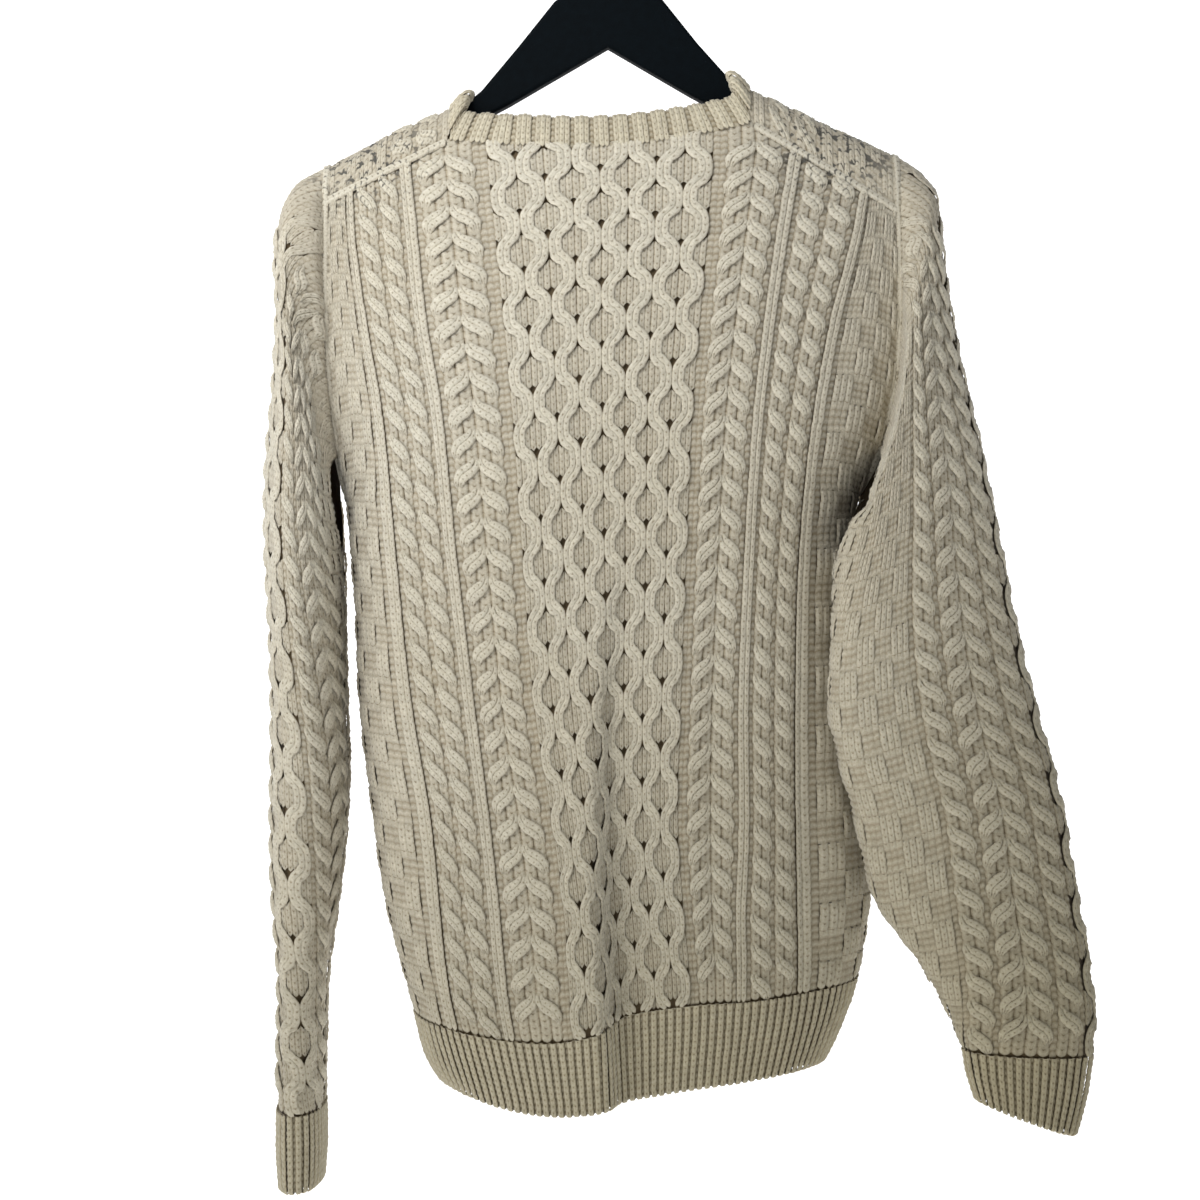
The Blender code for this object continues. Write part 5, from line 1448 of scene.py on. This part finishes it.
def wool_material(name, deep, middle, light, sheen=0.2):
    """Heathered wool with painted shade: dark and yellow-brown between the stitches, pale on top of them.
    """
    material, tree, shader = base_material(name, middle, 0.95)
    place = node(tree, "ShaderNodeTexCoord").outputs["Object"]
    mark = {}
    for label in ("shade", "tone", "leg", "course"):
        mark[label] = node(tree, "ShaderNodeAttribute", attribute_name=label).outputs["Fac"]
    # Painted shade: the deep colour where shade is low, in the recesses, and the pale one on the tops of
    # the stitches.
    colour = ramp(tree, mark["shade"], ((0.0, deep), (0.3, middle), (0.75, light)))
    blotch = ramp(tree, noise(tree, place, 9.0), ((0.3, (0.96, 0.95, 0.93)), (0.7, (1.0, 1.0, 1.0))))
    colour = mix(tree, "MULTIPLY", 1.0, colour, blotch)
    fibres = noise(tree, place, 700.0, 3.0, 0.75)
    heather = ramp(tree, fibres, ((0.32, (0.72, 0.69, 0.62)), (0.62, (1.0, 1.0, 1.0))))
    colour = mix(tree, "MULTIPLY", 0.75, colour, heather)
    colour = mix(tree, "MULTIPLY", 1.0, colour, map_range(tree, mark["tone"], -2.5, 2.5, 0.9, 1.06))
    # Painted shade: dark brown points in the gaps where one stitch slips into the next, down the middle and
    # the edges of a column
    course = maths(tree, "ABSOLUTE", maths(tree, "SUBTRACT", maths(tree, "FRACT", mark["course"]), 0.5))
    between = map_range(tree, course, 0.3, 0.5, 0.0, 1.0, True)
    side = maths(tree, "ABSOLUTE", mark["leg"])
    centre = map_range(tree, side, 0.0, 0.45, 1.0, 0.0, True)
    edge = map_range(tree, side, 0.6, 1.0, 0.0, 1.0, True)
    is_knit = maths(tree, "LESS_THAN", side, 1.2)
    slips = maths(tree, "MAXIMUM", centre, maths(tree, "MULTIPLY", edge, 0.75))
    dark = maths(tree, "MULTIPLY", between, slips)
    dark = maths(tree, "MULTIPLY", dark, is_knit)
    colour = mix(tree, "MULTIPLY", maths(tree, "MULTIPLY", dark, 0.8), colour, (0.36, 0.3, 0.21))
    show = None
    for centre, inner, outer in SHOW_THROUGH:
        spot = near(tree, place, centre, inner, outer)
        show = spot if show is None else maths(tree, "MAXIMUM", show, spot)
    lace = map_range(tree, noise(tree, place, 230.0, 1.0), 0.5, 0.62, 0.0, 1.0, True)
    gap = maths(tree, "MAXIMUM", map_range(tree, course, 0.25, 0.42, 0.0, 1.0, True), edge)
    gap = maths(tree, "MULTIPLY", maths(tree, "MULTIPLY", gap, show), lace)
    colour = mix(tree, "MIX", maths(tree, "MULTIPLY", gap, 0.85), colour, (0.035, 0.038, 0.04))
    # Painted shade: darker towards the hem and the right, where less light falls; the same ramp also makes
    # the wool yellower there
    split = node(tree, "ShaderNodeSeparateXYZ")
    tree.links.new(place, split.inputs[0])
    lean = maths(tree, "SUBTRACT", maths(tree, "MULTIPLY", split.outputs["X"], 0.6), split.outputs["Z"])
    falloff_shade = ramp(tree, lean, ((0.25, (1.0, 1.0, 1.0)), (0.52, (0.9, 0.89, 0.86)), (0.9, (0.58, 0.56, 0.48))))
    colour = mix(tree, "MULTIPLY", 1.0, colour, falloff_shade)
    tree.links.new(colour, shader.inputs["Base Color"])
    shader.inputs["Sheen Weight"].default_value = sheen
    shader.inputs["Sheen Roughness"].default_value = 0.5
    shader.inputs["Specular IOR Level"].default_value = 0.12
    bump = node(tree, "ShaderNodeBump")
    bump.inputs["Strength"].default_value = 0.6
    bump.inputs["Distance"].default_value = 0.0008
    tree.links.new(noise(tree, place, 1000.0, 3.0, 0.7), bump.inputs["Height"])
    tree.links.new(bump.outputs["Normal"], shader.inputs["Normal"])
    return material


def hard_material(name, colour, roughness, metallic=0.0, grain=0.0, scale=200.0, gloss=0.5):
    material, tree, shader = base_material(name, colour, roughness, metallic)
    place = node(tree, "ShaderNodeTexCoord").outputs["Object"]
    shader.inputs["Specular IOR Level"].default_value = gloss
    shades = (tuple(0.82 * c for c in colour), tuple(min(1.18 * c, 1.0) for c in colour))
    tone = ramp(tree, noise(tree, place, scale, 3.0), ((0.3, shades[0]), (0.7, shades[1])))
    tree.links.new(tone, shader.inputs["Base Color"])
    if grain:
        bump = node(tree, "ShaderNodeBump")
        bump.inputs["Strength"].default_value = grain
        bump.inputs["Distance"].default_value = 0.0003
        tree.links.new(noise(tree, place, 1400.0, 2.0), bump.inputs["Height"])
        tree.links.new(bump.outputs["Normal"], shader.inputs["Normal"])
    return material


# Hard pieces
def outline_curve(name, outline, half_thick, bevel, material):
    curve = bpy.data.curves.new(name, "CURVE")
    curve.dimensions = "2D"
    curve.fill_mode = "BOTH"
    curve.extrude = (half_thick - bevel) * MM
    curve.bevel_depth = bevel * MM
    curve.bevel_resolution = 4
    spline = curve.splines.new("POLY")
    spline.points.add(len(outline) - 1)
    for point, (x, z) in zip(spline.points, outline):
        point.co = (x * MM, z * MM, 0.0, 1.0)
    spline.use_cyclic_u = True
    return stand_curve(name, curve, material)


def stand_curve(name, curve, material, turned=True):
    made = bpy.data.objects.new(name + "_line", curve)
    bpy.context.scene.collection.objects.link(made)
    if turned:
        made.rotation_euler = (math.pi / 2, 0.0, 0.0)
    bpy.context.view_layer.update()
    graph = bpy.context.evaluated_depsgraph_get()
    mesh = bpy.data.meshes.new_from_object(made.evaluated_get(graph))
    mesh.transform(made.matrix_world)
    obj = bpy.data.objects.new(name, mesh)
    bpy.context.scene.collection.objects.link(obj)
    bpy.data.objects.remove(made, do_unlink=True)
    mesh.materials.clear()
    mesh.materials.append(material)
    mesh.shade_smooth()
    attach(obj, "root")
    return obj


def wire(name, points, radius, material):
    curve = bpy.data.curves.new(name, "CURVE")
    curve.dimensions = "3D"
    curve.bevel_depth = radius * MM
    curve.bevel_resolution = 5
    curve.use_fill_caps = True
    spline = curve.splines.new("POLY")
    spline.points.add(len(points) - 1)
    for point, place in zip(spline.points, points):
        point.co = (*(MM * value for value in place), 1.0)
    return stand_curve(name, curve, material, False)


def hook_points():
    centre_z = -HOOK_RADIUS
    reach = HOOK_RADIUS + HOOK_WIRE
    points = []
    steps = 60
    for step in range(steps + 1):
        turn = math.pi - HOOK_TURN + HOOK_TURN * step / steps
        points.append((-reach * math.cos(turn), 0.0, centre_z + reach * math.sin(turn)))
    points = points[::-1]
    bend_x, _, bend_z = points[-1]
    for step in range(1, 21):
        part = step / 20.0
        ease = part * part * (3 - 2 * part)
        points.append((bend_x * (1 - ease), 0.0, bend_z + (STEM_TOP_Z - bend_z) * part))
    points.append((0.0, 0.0, HUB_TOP_Z + 0.1))
    return points


BUTTON_PROFILE = (
    (0.0, 2.9),
    (5.6, 2.9),
    (6.6, 3.2),
    (7.4, 4.1),
    (8.6, 4.4),
    (9.6, 3.6),
    (10.0, 2.4),
    (9.4, 0.9),
    (7.2, 0.1),
    (0.0, 0.0),
)
BUTTON_HOLE = 1.9


def lathe(centre, axis, profile, sides):
    first = np.cross(axis, (1.0, 0.0, 0.0))
    first = first / np.linalg.norm(first)
    second = np.cross(axis, first)
    turns = 2 * math.pi * np.arange(sides) / sides
    spokes = first[None, :] * np.cos(turns)[:, None] + second[None, :] * np.sin(turns)[:, None]
    points = np.concatenate([centre + spokes * radius + axis * height for radius, height in profile])
    faces = []
    for ring in range(len(profile) - 1):
        for side in range(sides):
            ahead = (side + 1) % sides
            low = ring * sides
            faces.append((low + side, low + sides + side, low + sides + ahead, low + ahead))
    return points, np.array(faces), first, second


def make_button(number, centre, axis, material, dark, thread):
    points, faces, first, second = lathe(centre, axis, BUTTON_PROFILE, 40)
    button = add_mesh(f"fastened_button_{number}", points, faces, material)
    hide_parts(f"button_{number}")
    # The holes are near-black discs just proud of the face: painted shade where the real holes go through.
    holes = []
    hole_faces = []
    for way in (-1.0, 1.0):
        for side in (-1.0, 1.0):
            middle = centre + first * BUTTON_HOLE * way + second * BUTTON_HOLE * side + axis * 2.92
            pit, pit_faces, _, _ = lathe(middle, axis, ((0.0, 0.0), (0.85, 0.0), (0.85, 0.05)), 14)
            hole_faces.append(pit_faces + len(holes) * len(pit))
            holes.append(pit)
    add_mesh(f"button_hole_shade_{number}", np.concatenate(holes), np.concatenate(hole_faces), dark)
    for way in (-1.0, 1.0):
        foot = centre + first * BUTTON_HOLE * way + axis * 2.9
        ends = [foot + second * BUTTON_HOLE * side for side in (-1.0, 1.0)]
        arch = 0.5 * (ends[0] + ends[1]) + axis * 0.7
        name = f"button_thread_{number}_{'a' if way < 0 else 'b'}"
        wire(name, [tuple(ends[0]), tuple(arch), tuple(ends[1])], 0.45, thread)


def make_stage():
    """Pale floor that curves up into the backdrop."""
    profile = [(-6.0, -1.9), (3.4, -1.9)]
    for step in range(1, 13):
        turn = math.pi / 2 * step / 12
        profile.append((3.4 + 0.6 * math.sin(turn), -1.3 - 0.6 * math.cos(turn)))
    profile.append((4.0, 5.0))
    points = []
    faces = []
    for x in (-8.0, 8.0):
        points += [(x / MM, y / MM, z / MM) for y, z in profile]
    count = len(profile)
    for index in range(count - 1):
        faces.append((index, index + count, index + count + 1, index + 1))
    material, _, shader = base_material("studio_white", (0.8, 0.8, 0.8), 0.9)
    shader.inputs["Emission Color"].default_value = (1.0, 1.0, 1.0, 1.0)
    shader.inputs["Emission Strength"].default_value = 0.95
    mesh = bpy.data.meshes.new("backdrop")
    mesh.from_pydata([tuple(v * MM for v in point) for point in points], [], faces)
    mesh.shade_smooth()
    mesh.materials.append(material)
    backdrop = bpy.data.objects.new("backdrop", mesh)
    bpy.context.scene.collection.objects.link(backdrop)


def area_light(name, place, aim, size, power):
    light = bpy.data.lights.new(name, "AREA")
    light.shape = "RECTANGLE"
    light.size = size[0]
    light.size_y = size[1]
    light.energy = power
    obj = bpy.data.objects.new(name, light)
    bpy.context.scene.collection.objects.link(obj)
    obj.location = place
    direction = [aim[axis] - place[axis] for axis in range(3)]
    level = math.hypot(direction[0], direction[1])
    obj.rotation_euler = (math.atan2(level, -direction[2]), 0.0, math.atan2(-direction[0], direction[1]))


def make_lights():
    world = bpy.data.worlds.new("studio")
    bpy.context.scene.world = world
    world.use_nodes = True
    background = world.node_tree.nodes["Background"]
    background.inputs["Color"].default_value = (0.96, 0.98, 1.0, 1.0)
    background.inputs["Strength"].default_value = 0.22
    area_light("key", (-0.45, -0.65, 0.3), (-0.08, 0.0, -0.36), (0.55, 0.55), 6.6)
    area_light("fill", (-1.3, -0.9, -0.3), (-0.1, 0.0, -0.4), (1.0, 1.0), 5.2)


def make_camera():
    data = bpy.data.cameras.new("camera")
    camera = bpy.data.objects.new("camera", data)
    bpy.context.scene.collection.objects.link(camera)
    camera.location = (CAMERA_X * MM, -CAMERA_BACK * MM, CAMERA_Z * MM)
    camera.rotation_euler = (math.pi / 2, 0.0, 0.0)
    data.sensor_width = 36.0
    data.lens = 36.0 * CAMERA_BACK / FRAME_WIDTH
    bpy.context.scene.camera = camera


def dress(part, cloth, wales, wool, shade_lining, cad_node, slot, steps=(4, 4), depth=BACKING_DEPTH,
          parts=1, **sheet):
    """Knits one piece over its plain backing, the sheet that stands for its solid."""
    pieces = knit_piece(f"knit_{part}", cloth, wales, wool, parts=parts)
    plain = backing(f"{part}_cloth", cloth, shade_lining, *steps, depth)
    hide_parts(cad_node)


def make_back(wool, shade_lining):
    columns = honeycomb(-16.0, 8, 3.0) + half_chart(-1.0, 1.0) + half_chart(1.0, 1.0)
    dress(
        "back", back_cloth(), columns, wool, shade_lining, "back_panel", "cream_wool", parts=3,
        flat=(0.46, 0.63), held="hung", rests_on=["hanger_arms"], area=0.27,
    )


def make_front(side, left, wool, shade_lining):
    columns = half_chart(1.0 if left else -1.0, 1.0)
    columns += honeycomb(4.0 if left else -16.0, 3, 3.0, 0 if left else 1)
    dress(
        f"{side}_front", front_cloth(left), columns, wool, shade_lining, f"{side}_front", "cream_wool",
        flat=(0.22, 0.65), held="hung", rests_on=["hanger_arms"], area=0.125,
    )


def make_hems(rib, shade_lining):
    hems = (
        ("back_hem", -1, np.arange(-EDGE_STITCH, EDGE_STITCH + 0.25, 0.5), BACK_HEM, (0.44, 0.055)),
        ("left_front_hem", 1, np.arange(-EDGE_STITCH, -BAND_STITCH, 0.4), FRONT_HEM, (0.16, 0.05)),
        ("right_front_hem", 1, np.arange(BAND_STITCH, EDGE_STITCH + 0.2, 0.4), FRONT_HEM, (0.16, 0.05)),
    )
    for name, side, stitches, table, flat in hems:
        cloth, count = hem_cloth(side, stitches, table)
        dress(
            name, cloth, rib_wales(count), rib, shade_lining, f"{name}_rib", "cream_rib", (2, 2),
            flat=flat, held="hung",
        )


def make_bands(rib, shade_lining):
    for name, lift, cad_node in BAND_LIFTS:
        cloth, count = band_cloth(lift, BAND_REACH)
        dress(
            name, cloth, rib_wales(count), rib, shade_lining, cad_node, "cream_rib", (4, 2),
            flat=(0.03, 0.56), held="hung",
        )


def make_neckband(rib, shade_lining):
    cloth, count = neckband_cloth()
    dress(
        "neckband", cloth, rib_wales(count, 4, (0, 1, 2)), rib, shade_lining, "neckband", "cream_rib", (2, 2),
        flat=(0.47, 0.042), held="gathered",
    )


def make_sleeve(side, left, wool, rib, shade_lining):
    """One sleeve with its cuff."""
    cloth = sleeve_cloth(left, LEFT_SLEEVE if left else RIGHT_SLEEVE)
    chart = sleeve_chart(cloth.top(0.0) - SLEEVE_PLAIN_ROWS, LEFT_SLEEVE_TURN if left else 0.0)
    dress(
        f"{side}_sleeve", cloth, chart, wool, shade_lining, f"{side}_sleeve", "cream_wool", depth=1.0, parts=2,
        flat=(0.37, 0.63), held="hung", rests_on=["hanger_arms"], area=0.165,
    )
    cloth, count = cuff_cloth(left, LEFT_CUFF if left else RIGHT_CUFF)
    dress(
        f"{side}_cuff", cloth, rib_wales(count), rib, shade_lining, f"{side}_cuff", "cream_rib", (2, 2),
        flat=(0.17, 0.07), held="hung",
    )


def make_seams(side, left, wool):
    """Columns of stitches along one armhole and one shoulder seam."""
    ring = armhole_ring(left)
    ring = np.concatenate([ring, ring[:1]])
    way = -1.0 if left else 1.0
    middle = ring.mean(axis=0)
    middle[2] = 0.0
    outward = (ring - middle) * np.array((0.2, 1.0, 0.0)) + np.array((way * 9.0, 0.0, 0.0))
    outward[:, 2] += np.where(ring[:, 2] > -200.0, 30.0, 0.0)
    outward = unit(outward)
    line = ring - np.array((0.7 * way, 0.0, 0.0)) + outward
    seam_strip(f"{side}_armhole_seam", line, outward, 6.0, 1.2, wool)
    neck_x = NECK_LEFT_X - 3.0 if left else NECK_RIGHT_X + 3.0
    x = np.linspace(neck_x, float(edge_x(-215.0, not left)), 60)
    behind = np.stack([wrap_point(value, math.pi) for value in x])
    face = np.tile(np.array((0.0, -0.9, 0.45)), (len(x), 1))
    seam_strip(f"{side}_shoulder_seam", behind + face * 1.4, face, 6.0, 1.4, wool)


def make_label(material):
    """Blank label on the inside of the back."""
    left, right, foot, top = LABEL_BOX
    x, z = np.meshgrid(np.linspace(left, right, 9), np.linspace(foot, top, 8))
    y = body_y(-1, x, z) + WALL + 1.2
    points = np.stack([x, y, z], axis=-1).reshape(-1, 3)
    label = add_mesh("blank_label", points, grid_faces(*x.shape).reshape(-1, 4), material)
    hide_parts("neck_label")


def make_buttons():
    """Seven fastened buttons, evenly spaced down the upper band."""
    horn = hard_material("button_horn_look", (0.36, 0.26, 0.16), 0.32, 0.0, 0.1, 160.0)
    # Near-black painted shade for the button holes
    dark = hard_material("button_hole_painted_shade", (0.03, 0.022, 0.015), 0.8)
    thread = hard_material("thread_cream", (0.7, 0.64, 0.5), 0.8)
    z_top = FRONT_NECK_Z - 1.0
    z_foot = float(smooth_table(FRONT_HEM, 6.0, 2))
    low = z_foot + (z_top - z_foot) * 1.2 / 18.0
    high = z_foot + (z_top - z_foot) * 17.0 / 18.0
    for number, z in enumerate(np.linspace(low, high, BUTTON_COUNT)):
        place = body_point(1, np.array([0.0]), np.array([z]))[0]
        axis = body_normal(1, np.array([0.0]), np.array([z]))[0]
        make_button(number + 1, place + axis * 5.4, axis, horn, dark, thread)


def make_hanger():
    black = hard_material("hanger_plastic", (0.0012, 0.003, 0.0045), 0.65, 0.0, 0.25, 200.0, 0.06)
    chrome = hard_material("hook_metal", (0.72, 0.72, 0.73), 0.2, 1.0)
    outline = inset(hanger_outline(), HANGER_BEVEL)
    arms = outline_curve("flat_hanger", outline, HANGER_HALF_THICK, HANGER_BEVEL, black)
    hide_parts("hanger_arms")
    hook = wire("wire_hook", hook_points(), HOOK_WIRE, chrome)
    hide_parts("hanger_hook")


def main():
    # Each wool gets a deep colour, painted shade for its recesses, then a middle and a pale colour.
    cream = wool_material("cream_wool_knit", (0.34, 0.27, 0.17), (0.57, 0.52, 0.42), (0.76, 0.72, 0.61))
    rib = wool_material("cream_rib_knit", (0.30, 0.23, 0.13), (0.54, 0.48, 0.36), (0.74, 0.69, 0.55))
    # Dark browns for the cloth under the stitches: painted shade for the deep gaps between them.
    shade_lining = wool_material("inner_wool_painted_shade", (0.2, 0.15, 0.09), (0.24, 0.18, 0.11), (0.3, 0.24, 0.16))
    sides = (("left", True), ("right", False))
    make_back(cream, shade_lining)
    for side, left in sides:
        make_front(side, left, cream, shade_lining)
    make_hems(rib, shade_lining)
    make_bands(rib, shade_lining)
    make_neckband(rib, shade_lining)
    for side, left in sides:
        make_sleeve(side, left, cream, rib, shade_lining)
    for side, left in sides:
        make_seams(side, left, cream)
    make_label(hard_material("label_dark", (0.02, 0.022, 0.03), 0.85, 0.0, 0.3, 500.0))
    make_buttons()
    make_hanger()
    make_stage()
    make_lights()
    make_camera()
    bpy.context.scene.view_settings.view_transform = "Standard"


main()
